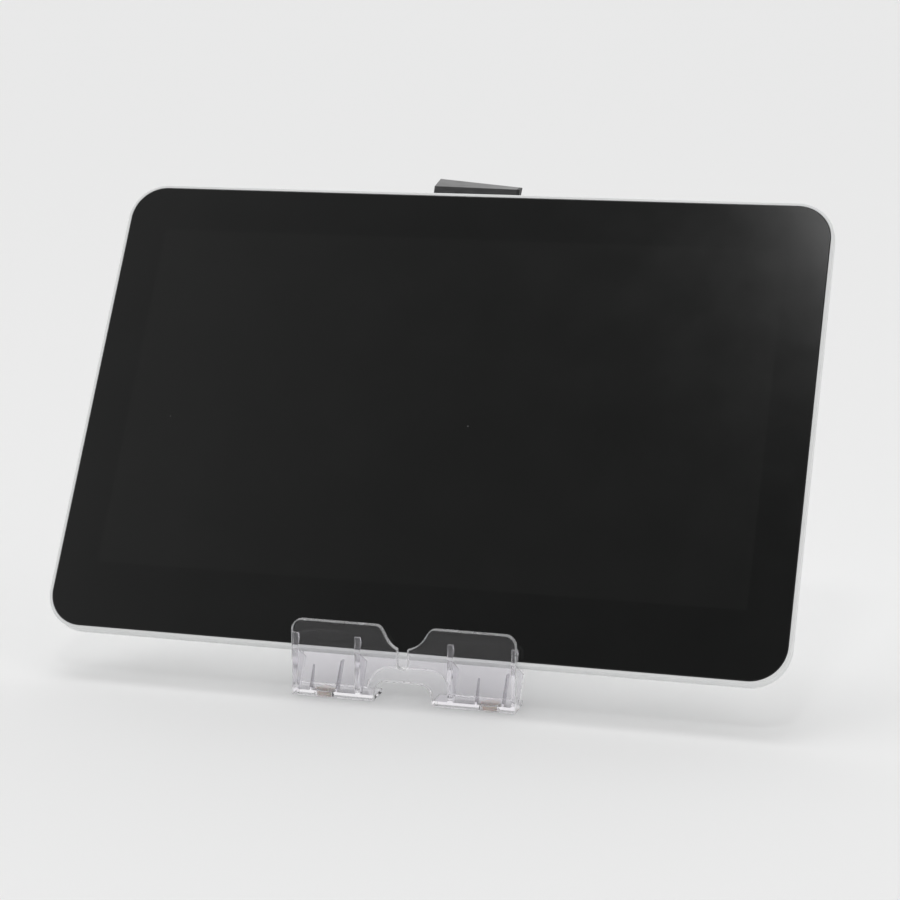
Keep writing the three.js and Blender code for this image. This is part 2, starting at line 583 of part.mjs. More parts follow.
// Rear strut, in the slope's frame: a knuckle on the pin, a heel that meets the back plate
// when the strut is open, a flat leg, and a foot cut level with the table.
function rearStrut() {
  const down = [-Math.cos(STRUT_OPEN), -Math.sin(STRUT_OPEN)];
  const out = [down[1], -down[0]];
  const at = (along, across) => [
    HINGE_UP + down[0] * along + out[0] * across,
    -HINGE_BACK + down[1] * along + out[1] * across,
  ];
  const half = SHEET / 2;
  const footLevel = 1.5;
  const leg = polygon([
    at(STRUT_START, -half), at(STRUT_START, half), at(113, half),
    toSlope(STRUT_FOOT_Y - 4, 5), toSlope(STRUT_FOOT_Y - 4, footLevel),
    toSlope(STRUT_FOOT_Y + 4, footLevel), toSlope(STRUT_FOOT_Y + 4, 5), at(113, -half),
  ].reverse());
  const neck = polygon([at(0, -half), at(STRUT_START + 1, -half), at(STRUT_START + 1, half), at(0, half)]);
  const heel = polygon([
    [HINGE_UP - 0.5, -HINGE_BACK + 1], [HINGE_UP + 1, -BACK_FACE - SHEET - 0.35],
    [HINGE_UP + 6, -BACK_FACE - SHEET - 0.35], [HINGE_UP + 6, -HINGE_BACK + 0.6], [HINGE_UP, -HINGE_BACK - 2],
  ]);
  const knuckleHalf = EAR_INNER - FIT;
  const knuckle = rod(KNUCKLE_RADIUS, -knuckleHalf, knuckleHalf, 0, 0)
    .rotateY(Math.PI / 2).translate(0, HINGE_UP, -HINGE_BACK);
  const bore = rod(PIN_RADIUS + FIT, -40, 40, 0, 0).rotateY(Math.PI / 2).translate(0, HINGE_UP, -HINGE_BACK);
  const whole = join(
    sweepX(leg, -STRUT_HALF, STRUT_HALF), sweepX(neck, -knuckleHalf, knuckleHalf),
    sweepX(heel, -knuckleHalf, knuckleHalf), knuckle);
  return cut(whole, bore);
}

function buildStand() {
  const stand = new THREE.Group();
  add(stand, "stand_cradle", "clear", standCradle());
  [["left", -PAD_X], ["right", PAD_X]].forEach(([side, x]) => {
    add(stand, `stand_pad_${side}`, "amber", rod(PAD_RADIUS, 0, SOLE_HEIGHT + PAD_SINK, x, PAD_Y, 24));
  });
  const [padX, padY] = FOOT_PAD_HALF;
  add(stand, "strut_foot_pad", "rubber",
    slab(roundedRect(2 * padX, 2 * padY, 1.5, 0, STRUT_FOOT_Y), 0, 1.2, 3));
  const slope = new THREE.Group();
  slope.position.z = EDGE_HEIGHT;
  slope.rotation.x = TILT;
  add(slope, "stand_back_plate", "clear", backPlate());
  add(slope, "strut_hinge_pin", "steel", hingePin());
  add(slope, "rear_strut", "clear", rearStrut());
  stand.add(slope);
  stand.position.x = STAND_SHIFT;
  return stand;
}

// ---- the whole object -------------------------------------------------------

const assembly = new THREE.Group();
const lean = new THREE.Group();
lean.position.z = EDGE_HEIGHT;
lean.rotation.x = TILT;
lean.add(buildDisplay());
assembly.add(lean);
assembly.add(buildStand());

const object = new THREE.Group();
object.add(assembly);
const span = new THREE.Box3().setFromObject(object, true);
assembly.position.y = -(span.min.y + span.max.y) / 2;

export default object;
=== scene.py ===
import math

import bmesh
import bpy
from mathutils import Matrix, Vector


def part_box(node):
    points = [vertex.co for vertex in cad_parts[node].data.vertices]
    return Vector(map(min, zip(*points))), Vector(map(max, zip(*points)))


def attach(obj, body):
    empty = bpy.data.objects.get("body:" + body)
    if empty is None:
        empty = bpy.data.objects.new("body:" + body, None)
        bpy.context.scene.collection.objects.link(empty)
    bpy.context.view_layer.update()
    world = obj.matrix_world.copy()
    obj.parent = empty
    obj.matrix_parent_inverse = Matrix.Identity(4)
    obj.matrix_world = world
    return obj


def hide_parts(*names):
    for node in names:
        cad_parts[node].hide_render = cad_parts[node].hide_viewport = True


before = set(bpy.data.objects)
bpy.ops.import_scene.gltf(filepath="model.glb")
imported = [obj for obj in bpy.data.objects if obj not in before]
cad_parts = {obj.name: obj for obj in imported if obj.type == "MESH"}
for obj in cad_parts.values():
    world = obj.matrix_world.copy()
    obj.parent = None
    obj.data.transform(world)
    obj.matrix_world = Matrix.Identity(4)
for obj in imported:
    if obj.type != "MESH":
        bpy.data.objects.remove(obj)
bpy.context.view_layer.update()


# ---- Camera -------------------------------------------------------------------------------
# A long lens a little above the screen and to its right, held level. Its place is measured
# from the middle of the glass face, which leans back in the stand.
MM = 0.001
LEAN = math.radians(58.06)
GLASS_THICK = 0.9 * MM
CAMERA_AWAY = Vector((287.6, -975.2, 197.9)) * MM
CAMERA_PITCH = math.radians(78.16)
CAMERA_YAW = math.radians(16.09)
glass_low, glass_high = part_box("cover_glass")
face_normal = Vector((0, -math.sin(LEAN), math.cos(LEAN)))
face_middle = (glass_low + glass_high) / 2 + face_normal * GLASS_THICK / 2

camera_data = bpy.data.cameras.new("camera")
camera_data.lens = 93.2
camera_data.sensor_width = 36
camera_data.clip_end = 80
camera = bpy.data.objects.new("camera", camera_data)
bpy.context.scene.collection.objects.link(camera)
camera.location = face_middle + CAMERA_AWAY
camera.rotation_euler = (CAMERA_PITCH, 0, CAMERA_YAW)
bpy.context.scene.camera = camera
bpy.context.scene.view_settings.view_transform = "Standard"


# ---- Studio -------------------------------------------------------------------------------
# A wide pale table and a bright white room. The room is dark only in front above the camera,
# which is what the tilted glass mirrors. A soft lamp high at the front gives the glass its
# blurred bright corner, and a soft sun from behind gives the faint shadows.
FLOOR_HALF = 40.0
FLOOR_DROP = 0.15 * MM


def deselect():
    if bpy.context.object and bpy.context.object.mode != "OBJECT":
        bpy.ops.object.mode_set(mode="OBJECT")
    bpy.ops.object.select_all(action="DESELECT")


deselect()
bpy.ops.mesh.primitive_plane_add(size=2 * FLOOR_HALF, location=(0, 0, -FLOOR_DROP))
floor = bpy.context.object
floor.name = "floor"
bpy.ops.object.transform_apply(location=True, rotation=False, scale=False)
floor_paint = bpy.data.materials.new("floor_paint")
floor_paint.use_nodes = True
floor_shader = floor_paint.node_tree.nodes["Principled BSDF"]
floor_shader.inputs["Base Color"].default_value = (0.84, 0.84, 0.84, 1)
floor_shader.inputs["Roughness"].default_value = 0.9
floor_shader.inputs["Specular IOR Level"].default_value = 0.1
floor.data.materials.append(floor_paint)

ROOM_BRIGHT = (0.88, 0.88, 0.88)
ROOM_DARK = (0.15, 0.15, 0.15)
DARK_TOWARDS = Vector((0.02, -0.68, 0.72)).normalized()
room = bpy.data.worlds.new("room")
bpy.context.scene.world = room
room.use_nodes = True
room_nodes = room.node_tree.nodes
room_links = room.node_tree.links
room_way = room_nodes.new("ShaderNodeTexCoord")
room_dot = room_nodes.new("ShaderNodeVectorMath")
room_dot.operation = "DOT_PRODUCT"
room_dot.inputs[1].default_value = DARK_TOWARDS
room_fade = room_nodes.new("ShaderNodeMapRange")
room_fade.interpolation_type = "SMOOTHSTEP"
room_fade.inputs["From Min"].default_value = math.cos(math.radians(42))
room_fade.inputs["From Max"].default_value = math.cos(math.radians(8))
room_mix = room_nodes.new("ShaderNodeMix")
room_mix.data_type = "RGBA"
room_mix.inputs["A"].default_value = (*ROOM_BRIGHT, 1)
room_mix.inputs["B"].default_value = (*ROOM_DARK, 1)
room_links.new(room_way.outputs["Generated"], room_dot.inputs[0])
room_links.new(room_dot.outputs["Value"], room_fade.inputs["Value"])
room_links.new(room_fade.outputs["Result"], room_mix.inputs["Factor"])
room_links.new(room_mix.outputs["Result"], room_nodes["Background"].inputs["Color"])


def add_lamp(name, kind, place, aim, power):
    light = bpy.data.lights.new(name, kind)
    light.energy = power
    lamp = bpy.data.objects.new(name, light)
    bpy.context.scene.collection.objects.link(lamp)
    lamp.location = place
    lamp.rotation_euler = (Vector(aim) - Vector(place)).to_track_quat("-Z", "Y").to_euler()
    return light


sun = add_lamp("soft_sun", "SUN", (-0.6, 1.1, 2.4), (0, 0, 0), 0.75)
sun.angle = math.radians(40)
corner_box = add_lamp("corner_box", "AREA", (0.10, -0.87, 1.80), (0.16, 0.0, 0.2), 2.2)
corner_box.shape = "DISK"
corner_box.size = 0.28


# ---- Cover glass --------------------------------------------------------------------------
# One sheet of etched anti-glare glass, cut with rounded corners and a ground edge, bonded to the
# panel. Its back is printed black, and the unlit picture shows as a barely lighter field.
GLASS_WIDTH = 331.3 * MM
GLASS_HEIGHT = 217.1 * MM
GLASS_CORNER = 15.8 * MM
PICTURE_WIDTH = 294.0 * MM
PICTURE_HEIGHT = 165.4 * MM
PICTURE_LIFT = 4.25 * MM
slope_place = Matrix.Translation(face_middle) @ Matrix.Rotation(LEAN, 4, "X")


def add_block(name, low, high):
    deselect()
    middle = [(a + b) / 2 for a, b in zip(low, high)]
    size = [b - a for a, b in zip(low, high)]
    bpy.ops.mesh.primitive_cube_add(size=1, location=middle, scale=size)
    block = bpy.context.object
    block.name = name
    block.data.name = name
    bpy.ops.object.transform_apply(location=True, rotation=True, scale=True)
    bpy.ops.object.mode_set(mode="EDIT")
    return block


def pick(kind, test):
    mesh = bpy.context.object.data
    bpy.ops.mesh.select_mode(type=kind)
    bpy.ops.mesh.select_all(action="DESELECT")
    shape = bmesh.from_edit_mesh(mesh)
    for part in {"VERT": shape.verts, "EDGE": shape.edges, "FACE": shape.faces}[kind]:
        if test(part):
            part.select_set(True)
    shape.select_flush_mode()
    bmesh.update_edit_mesh(mesh)


def near(value, target, slack=1e-5):
    return abs(value - target) < slack


def upright(edge):
    a, b = edge.verts
    return near(a.co.x, b.co.x) and near(a.co.y, b.co.y)


def edge_at(height):
    return lambda edge: all(near(v.co.z, height) for v in edge.verts)


def face_at(height, up):
    return lambda face: face.normal.z * up > 0.9 and near(face.calc_center_median().z, height)


def rounded_plate(name, width, height, low, high, radius, steps, middle=(0, 0)):
    x, y = middle
    plate = add_block(name, (x - width / 2, y - height / 2, low), (x + width / 2, y + height / 2, high))
    pick("EDGE", upright)
    bpy.ops.mesh.bevel(offset=radius, segments=steps, affect="EDGES")
    bpy.ops.mesh.select_all(action="SELECT")
    bpy.ops.mesh.remove_doubles(threshold=0.105 * MM)
    return plate


def put(piece, matrix):
    deselect()
    piece.select_set(True)
    bpy.context.view_layer.objects.active = piece
    piece.matrix_world = matrix
    bpy.ops.object.transform_apply(location=True, rotation=True, scale=True)


def apply_modifier(piece, kind, **settings):
    deselect()
    piece.select_set(True)
    bpy.context.view_layer.objects.active = piece
    modifier = piece.modifiers.new(kind.lower(), kind)
    for key, value in settings.items():
        setattr(modifier, key, value)
    bpy.ops.object.modifier_apply(modifier=modifier.name)


def hand_over(piece, body, nodes, finish, angle=35):
    deselect()
    piece.select_set(True)
    bpy.context.view_layer.objects.active = piece
    bpy.ops.object.shade_smooth_by_angle(angle=math.radians(angle))
    apply_modifier(piece, "WEIGHTED_NORMAL", keep_sharp=True)
    if not piece.data.materials:
        piece.data.materials.append(finish)
    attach(piece, body)
    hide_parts(*nodes)


def new_finish(name, colour, roughness):
    finish = bpy.data.materials.new(name)
    finish.use_nodes = True
    shader = finish.node_tree.nodes["Principled BSDF"]
    shader.inputs["Base Color"].default_value = (*colour, 1)
    shader.inputs["Roughness"].default_value = roughness
    return finish


def add_noise(finish, scale, detail=2.0, stretch=(1, 1, 1), lean=0.0):
    nodes = finish.node_tree.nodes
    links = finish.node_tree.links
    place = nodes.new("ShaderNodeTexCoord")
    mapping = nodes.new("ShaderNodeMapping")
    mapping.inputs["Rotation"].default_value = (-lean, 0, 0)
    mapping.inputs["Scale"].default_value = stretch
    noise = nodes.new("ShaderNodeTexNoise")
    noise.inputs["Scale"].default_value = scale
    noise.inputs["Detail"].default_value = detail
    links.new(place.outputs["Object"], mapping.inputs["Vector"])
    links.new(mapping.outputs["Vector"], noise.inputs["Vector"])
    return noise.outputs["Fac"]


def vary(finish, source, socket, low, high):
    nodes = finish.node_tree.nodes
    spread = nodes.new("ShaderNodeMapRange")
    spread.inputs["From Min"].default_value = 0.3
    spread.inputs["From Max"].default_value = 0.7
    spread.inputs["To Min"].default_value = low
    spread.inputs["To Max"].default_value = high
    finish.node_tree.links.new(source, spread.inputs["Value"])
    finish.node_tree.links.new(spread.outputs["Result"], nodes["Principled BSDF"].inputs[socket])


def blend_colour(finish, source, dark, light, low=0.3, high=0.7):
    nodes = finish.node_tree.nodes
    links = finish.node_tree.links
    spread = nodes.new("ShaderNodeMapRange")
    spread.inputs["From Min"].default_value = low
    spread.inputs["From Max"].default_value = high
    mix = nodes.new("ShaderNodeMix")
    mix.data_type = "RGBA"
    base = nodes["Principled BSDF"].inputs["Base Color"]
    if base.is_linked:
        links.new(base.links[0].from_socket, mix.inputs["A"])
    else:
        mix.inputs["A"].default_value = (*dark, 1)
    mix.inputs["B"].default_value = (*light, 1)
    links.new(source, spread.inputs["Value"])
    links.new(spread.outputs["Result"], mix.inputs["Factor"])
    links.new(mix.outputs["Result"], base)


def roughen(finish, source, strength, depth):
    nodes = finish.node_tree.nodes
    bump = nodes.new("ShaderNodeBump")
    bump.inputs["Strength"].default_value = strength
    bump.inputs["Distance"].default_value = depth
    finish.node_tree.links.new(source, bump.inputs["Height"])
    finish.node_tree.links.new(bump.outputs["Normal"], nodes["Principled BSDF"].inputs["Normal"])


def add_dust(finish):
    nodes = finish.node_tree.nodes
    place = nodes.new("ShaderNodeTexCoord")
    cells = nodes.new("ShaderNodeTexVoronoi")
    cells.inputs["Scale"].default_value = 36
    finish.node_tree.links.new(place.outputs["Object"], cells.inputs["Vector"])
    blend_colour(finish, cells.outputs["Distance"], None, (0.16, 0.16, 0.16), 0.012, 0.006)


def glass_finish(name, dark, light):
    finish = new_finish(name, light, 0.18)
    blend_colour(finish, add_noise(finish, 14, 2), dark, light)
    add_dust(finish)
    vary(finish, add_noise(finish, 40, 3), "Roughness", 0.165, 0.20)
    roughen(finish, add_noise(finish, 5200, 1), 0.12, 0.00002)
    return finish


glass = rounded_plate("screen_glass", GLASS_WIDTH, GLASS_HEIGHT, -GLASS_THICK, 0, GLASS_CORNER, 20)
pick("EDGE", edge_at(0))
bpy.ops.mesh.bevel(offset=0.28 * MM, segments=3, affect="EDGES")
picture_sides = [
    (-PICTURE_WIDTH / 2, 0, (1, 0, 0)), (PICTURE_WIDTH / 2, 0, (1, 0, 0)),
    (0, PICTURE_LIFT - PICTURE_HEIGHT / 2, (0, 1, 0)), (0, PICTURE_LIFT + PICTURE_HEIGHT / 2, (0, 1, 0)),
]
for side_x, side_y, side_normal in picture_sides:
    bpy.ops.mesh.select_all(action="SELECT")
    bpy.ops.mesh.bisect(plane_co=(side_x, side_y, 0), plane_no=side_normal)
bpy.ops.object.mode_set(mode="OBJECT")
border_black = glass_finish("glass_border", (0.0030, 0.0033, 0.0031), (0.0038, 0.0041, 0.0039))
picture_black = glass_finish("glass_picture", (0.0056, 0.0059, 0.0056), (0.0066, 0.0069, 0.0066))
glass.data.materials.append(border_black)
glass.data.materials.append(picture_black)
for face in glass.data.polygons:
    in_width = abs(face.center.x) < PICTURE_WIDTH / 2
    in_height = abs(face.center.y - PICTURE_LIFT) < PICTURE_HEIGHT / 2
    face.material_index = 1 if face.normal.z > 0.9 and in_width and in_height else 0
put(glass, slope_place)
hand_over(glass, "display", ["cover_glass"], None)


# ---- White border -------------------------------------------------------------------------
# The front frame: one moulded ring of satin white plastic with a narrow rounded border round
# the glass, a shelf that the glass is bonded to, and posts for the screws of the back shell.
RIM = 1.7 * MM
RIM_GAP = 0.22 * MM
RIM_FRONT = -0.15 * MM
RIM_BACK = -3.2 * MM
RIM_ROUND = 0.6 * MM
SHELF_DEPTH = 1.55 * MM
SHELF_WIDTH = 3.3 * MM
BODY_WIDTH = GLASS_WIDTH + 2 * RIM
BODY_HEIGHT = GLASS_HEIGHT + 2 * RIM
BODY_CORNER = GLASS_CORNER + RIM
POST_RADIUS = 3.0 * MM
POST_END = -9.9 * MM
POST_WEB_HALF = 1.2 * MM
SCREW_PLACES = [(x * MM, y * MM) for x in (-120, 120) for y in (-94.5, 94.5)]


def white_finish(name):
    finish = new_finish(name, (0.74, 0.75, 0.745), 0.42)
    blend_colour(finish, add_noise(finish, 9, 3), (0.79, 0.80, 0.795), (0.835, 0.842, 0.84))
    vary(finish, add_noise(finish, 60, 3), "Roughness", 0.36, 0.48)
    roughen(finish, add_noise(finish, 2600, 1), 0.22, 0.00005)
    return finish


def close_up(piece):
    deselect()
    piece.select_set(True)
    bpy.context.view_layer.objects.active = piece
    bpy.ops.object.mode_set(mode="EDIT")
    bpy.ops.mesh.select_all(action="SELECT")
    bpy.ops.mesh.remove_doubles(threshold=1e-7)
    bpy.ops.mesh.normals_make_consistent(inside=False)
    bpy.ops.object.mode_set(mode="OBJECT")


def merge_in(piece, extra):
    close_up(extra)
    apply_modifier(piece, "BOOLEAN", operation="UNION", object=extra, solver="EXACT")
    bpy.data.objects.remove(extra)


def round_rod(name, radius, low, high, middle, steps=24, bevel=0.0):
    deselect()
    x, y = middle
    bpy.ops.mesh.primitive_cylinder_add(
        vertices=steps, radius=radius, depth=high - low, location=(x, y, (low + high) / 2))
    rod = bpy.context.object
    rod.name = name
    bpy.ops.object.transform_apply(location=True, rotation=True, scale=True)
    if bevel:
        bpy.ops.object.mode_set(mode="EDIT")
        pick("EDGE", lambda edge: near(edge.verts[0].co.z, edge.verts[1].co.z))
        bpy.ops.mesh.bevel(offset=bevel, segments=3, affect="EDGES")
        bpy.ops.object.mode_set(mode="OBJECT")
    return rod


white_plastic = white_finish("white_plastic")
border = rounded_plate("white_border", BODY_WIDTH, BODY_HEIGHT, RIM_BACK, RIM_FRONT, BODY_CORNER, 22)
pick("EDGE", edge_at(RIM_FRONT))
bpy.ops.mesh.bevel(offset=RIM_ROUND, segments=4, affect="EDGES")
pick("FACE", face_at(RIM_FRONT, 1))
bpy.ops.mesh.inset(thickness=RIM - RIM_GAP - RIM_ROUND, depth=0)
bpy.ops.mesh.inset(thickness=0.00001, depth=-SHELF_DEPTH)
bpy.ops.mesh.inset(thickness=SHELF_WIDTH, depth=0)
bpy.ops.mesh.delete(type="ONLY_FACE")
pick("FACE", face_at(RIM_BACK, -1))
bpy.ops.mesh.inset(thickness=RIM - RIM_GAP + SHELF_WIDTH, depth=0)
bpy.ops.mesh.delete(type="ONLY_FACE")
pick("EDGE", lambda edge: edge.is_boundary)
bpy.ops.mesh.bridge_edge_loops()
close_up(border)
for post_x, post_y in SCREW_PLACES:
    merge_in(border, round_rod("post", POST_RADIUS, POST_END, RIM_BACK + 0.6 * MM, (post_x, post_y)))
    side = math.copysign(1, post_y)
    reach = side * (BODY_HEIGHT / 2 - 4.5 * MM)
    web = add_block("web", (post_x - POST_WEB_HALF, min(post_y, reach), -8 * MM),
                    (post_x + POST_WEB_HALF, max(post_y, reach), RIM_BACK + 0.5 * MM))
    merge_in(border, web)
put(border, slope_place)
hand_over(border, "display", ["front_frame"], white_plastic)


# ---- Back shell ---------------------------------------------------------------------------
# The white shell that closes the back, moulded with a wall of under two millimetres: straight
# beside the border, then curving in to a flat field, with pockets and cut-outs.
SHELL_FRONT = -3.45 * MM
SHELL_STRAIGHT = -5.2 * MM
SHELL_BACK = -11.8 * MM
SHELL_TAPER = 12.0 * MM
SHELL_WALL = 1.8 * MM
SHELL_FLOOR = 1.6 * MM
POCKET_TAPER = 8.0 * MM
CONTROL_DEPTH = -5.9 * MM
BUTTON_X = 110 * MM
SWITCH_X = 138 * MM
LIGHT_X = 98 * MM
SOCKET_UP = (72 * MM, 50 * MM)
SOCKET_DEPTH = -7.4 * MM
SLOT_HALF = 18 * MM
SCREW_SEAT = 2.6 * MM
SCREW_HOLE = 1.4 * MM
POCKET_LENGTH = 44.6 * MM
POCKET_WIDTH = 10.6 * MM
POCKET_ROUND = 5.25 * MM
FOOT_PLACES = [(x * MM, y * MM) for x in (-120, 120) for y in (-92, 92)]


def curve_in(steps, taper, depth):
    for step in range(steps):
        a = math.radians(90 * step / steps)
        b = math.radians(90 * (step + 1) / steps)
        across = taper * (math.cos(a) - math.cos(b))
        inward = depth * (math.sin(b) - math.sin(a))
        bpy.ops.mesh.inset(thickness=across, depth=inward)


def carve(piece, cutter):
    close_up(cutter)
    apply_modifier(piece, "BOOLEAN", operation="DIFFERENCE", object=cutter, solver="EXACT")
    bpy.data.objects.remove(cutter)


def soften_edges(piece, width, steps=2, angle=40):
    apply_modifier(piece, "BEVEL", width=width, segments=steps, limit_method="ANGLE",
                   angle_limit=math.radians(angle))


# Places on the upper edge (z of the piece points up the panel) and on the left edge.
def top_edge(x):
    return Matrix.Translation((x, BODY_HEIGHT / 2, CONTROL_DEPTH)) @ Matrix.Rotation(-math.pi / 2, 4, "X")


def left_edge(up):
    return Matrix(((0, 0, -1, -BODY_WIDTH / 2), (1, 0, 0, up), (0, -1, 0, SOCKET_DEPTH), (0, 0, 0, 1)))


def opening(width, depth, corner, matrix, low=-6 * MM, high=4 * MM):
    cutter = rounded_plate("opening", width, depth, low, high, corner, 7)
    put(cutter, matrix)
    return cutter


shell = rounded_plate("back_shell", BODY_WIDTH, BODY_HEIGHT, SHELL_STRAIGHT, SHELL_FRONT, BODY_CORNER, 22)
pick("FACE", face_at(SHELL_STRAIGHT, -1))
curve_in(12, SHELL_TAPER, SHELL_STRAIGHT - SHELL_BACK)
pick("FACE", face_at(SHELL_FRONT, 1))
bpy.ops.mesh.inset(thickness=SHELL_WALL, depth=0)
bpy.ops.mesh.inset(thickness=0.00001, depth=SHELL_STRAIGHT - SHELL_FRONT)
curve_in(8, POCKET_TAPER, SHELL_BACK - SHELL_STRAIGHT + SHELL_FLOOR)
close_up(shell)
carve(shell, opening(10.8 * MM, 3.2 * MM, 1.55 * MM, top_edge(BUTTON_X)))
carve(shell, opening(7.7 * MM, 2.8 * MM, 0.6 * MM, top_edge(SWITCH_X + 1.5 * MM)))
carve(shell, opening(2.0 * MM, 2.0 * MM, 0.95 * MM, top_edge(LIGHT_X)))
carve(shell, add_block("loop_opening", (-SLOT_HALF, BODY_HEIGHT / 2 - 6.5 * MM, -9.2 * MM),
                       (SLOT_HALF, BODY_HEIGHT / 2 + 2 * MM, -7.4 * MM)))
for socket_up in SOCKET_UP:
    carve(shell, opening(9.7 * MM, 4.0 * MM, 1.95 * MM, left_edge(socket_up), -12 * MM, 2 * MM))
for foot_x, foot_y in FOOT_PLACES:
    carve(shell, rounded_plate("pocket", POCKET_LENGTH, POCKET_WIDTH, SHELL_BACK - 1 * MM,
                               SHELL_BACK + 0.5 * MM, POCKET_ROUND, 12, (foot_x, foot_y)))
for place in SCREW_PLACES:
    carve(shell, round_rod("screw_seat", SCREW_SEAT, SHELL_BACK - 1 * MM, SHELL_BACK + 1.25 * MM, place))
    carve(shell, round_rod("screw_hole", SCREW_HOLE, SHELL_BACK - 1 * MM, SHELL_BACK + 3 * MM, place))
put(shell, slope_place)
hand_over(shell, "display", ["rear_cover"], white_plastic)


# ---- Rubber feet --------------------------------------------------------------------------
# Four long soft feet, die-moulded with a crowned tread and fine grip ridges, glued into
# shallow pockets in the back shell over the screws.
FOOT_LENGTH = 44.0 * MM
FOOT_WIDTH = 9.9 * MM
FOOT_ROUND = FOOT_WIDTH / 2 - 0.05 * MM
FOOT_OUT = -12.5 * MM
FOOT_IN = -11.45 * MM


def rubber_finish(name, dark, light):
    finish = new_finish(name, light, 0.78)
    blend_colour(finish, add_noise(finish, 30, 4), dark, light)
    blend_colour(finish, add_noise(finish, 420, 1), None, tuple(1.5 * c for c in light), 0.62, 0.80)
    vary(finish, add_noise(finish, 90, 3), "Roughness", 0.68, 0.88)
    roughen(finish, add_noise(finish, 1800, 2), 0.3, 0.00008)
    return finish


grey_rubber = rubber_finish("grey_rubber", (0.030, 0.031, 0.032), (0.045, 0.046, 0.048))
foot_model = rounded_plate("foot", FOOT_LENGTH, FOOT_WIDTH, FOOT_OUT, FOOT_IN, FOOT_ROUND, 12)
pick("EDGE", edge_at(FOOT_OUT))
bpy.ops.mesh.bevel(offset=0.3 * MM, segments=3, affect="EDGES")
pick("FACE", face_at(FOOT_OUT, -1))
bpy.ops.mesh.inset(thickness=0.6 * MM, depth=0)
for groove in range(2):
    bpy.ops.mesh.inset(thickness=0.15 * MM, depth=-0.14 * MM)
    bpy.ops.mesh.inset(thickness=0.25 * MM, depth=0)
    bpy.ops.mesh.inset(thickness=0.15 * MM, depth=0.14 * MM)
    bpy.ops.mesh.inset(thickness=0.35 * MM, depth=0)
bpy.ops.object.mode_set(mode="OBJECT")
close_up(foot_model)


def copy_of(model, name):
    twin = model.copy()
    twin.data = model.data.copy()
    twin.name = name
    twin.data.name = name
    bpy.context.scene.collection.objects.link(twin)
    return twin


def middle_of(node):
    low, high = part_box(node)
    return (low + high) / 2


foot_nodes = [f"rubber_foot_{n}" for n in range(1, 5)]
for number, (foot_x, foot_y) in enumerate(FOOT_PLACES, 1):
    foot = copy_of(foot_model, f"grip_foot_{number}")
    put(foot, slope_place @ Matrix.Translation((foot_x, foot_y, 0)))
    foot_middle = slope_place @ Vector((foot_x, foot_y, (FOOT_OUT + FOOT_IN) / 2))
    node = min(foot_nodes, key=lambda name: (middle_of(name) - foot_middle).length)
    hand_over(foot, "display", [node], grey_rubber)
bpy.data.objects.remove(foot_model)


# ---- Sockets ------------------------------------------------------------------------------
# Two reversible USB-C sockets on the left edge: a drawn steel shell with a rolled mouth, closed
# at the inner end, and a thin black tongue that carries two rows of plated contacts.
SOCKET_WIDTH = 8.9 * MM
SOCKET_HEIGHT = 3.2 * MM
SOCKET_LENGTH = 7.4 * MM
SOCKET_SETBACK = 2.4 * MM
SOCKET_WALL = 0.3 * MM
ROLLED_LIP = 0.07 * MM
TONGUE_HALF = 3.3 * MM
TONGUE_THICK = 0.7 * MM
TONGUE_TIP = -SOCKET_SETBACK - 0.9 * MM
CONTACT_TIP = -SOCKET_SETBACK - 1.2 * MM
CONTACTS = 12


def steel_finish(name, colour, along=(1, 1, 1)):
    finish = new_finish(name, colour, 0.3)
    finish.node_tree.nodes["Principled BSDF"].inputs["Metallic"].default_value = 1.0
    brushed = add_noise(finish, 900, 2, along, LEAN)
    blend_colour(finish, brushed, tuple(0.86 * c for c in colour), colour)
    vary(finish, add_noise(finish, 1200, 2, along, LEAN), "Roughness", 0.22, 0.40)
    roughen(finish, brushed, 0.06, 0.00002)
    return finish


socket_steel = steel_finish("socket_steel", (0.60, 0.61, 0.62), (0.05, 1, 1))
tongue_plastic = new_finish("tongue_plastic", (0.014, 0.014, 0.015), 0.5)
tongue_specks = add_noise(tongue_plastic, 500, 2)
blend_colour(tongue_plastic, tongue_specks, (0.012, 0.012, 0.013), (0.020, 0.020, 0.021))
contact_gold = steel_finish("contact_gold", (0.72, 0.52, 0.24), (0.2, 1, 1))

socket_model = rounded_plate("socket", SOCKET_WIDTH, SOCKET_HEIGHT, -SOCKET_SETBACK - SOCKET_LENGTH,
                             -SOCKET_SETBACK, SOCKET_HEIGHT / 2 - 0.05 * MM, 10)
pick("FACE", face_at(-SOCKET_SETBACK, 1))
bpy.ops.mesh.inset(thickness=ROLLED_LIP, depth=0.0)
bpy.ops.mesh.inset(thickness=SOCKET_WALL - 2 * ROLLED_LIP, depth=0.0)
bpy.ops.mesh.inset(thickness=ROLLED_LIP, depth=-0.08 * MM)
bpy.ops.mesh.inset(thickness=0.00001, depth=-6.3 * MM)
bpy.ops.object.mode_set(mode="OBJECT")
close_up(socket_model)
socket_model.data.materials.append(socket_steel)
tongue = rounded_plate("tongue", 2 * TONGUE_HALF, TONGUE_THICK, -SOCKET_SETBACK - 7.0 * MM,
                       TONGUE_TIP, 0.25 * MM, 3)
pick("EDGE", edge_at(TONGUE_TIP))
bpy.ops.mesh.bevel(offset=0.12 * MM, segments=2, affect="EDGES")
bpy.ops.object.mode_set(mode="OBJECT")
tongue.data.materials.append(tongue_plastic)
contacts = []
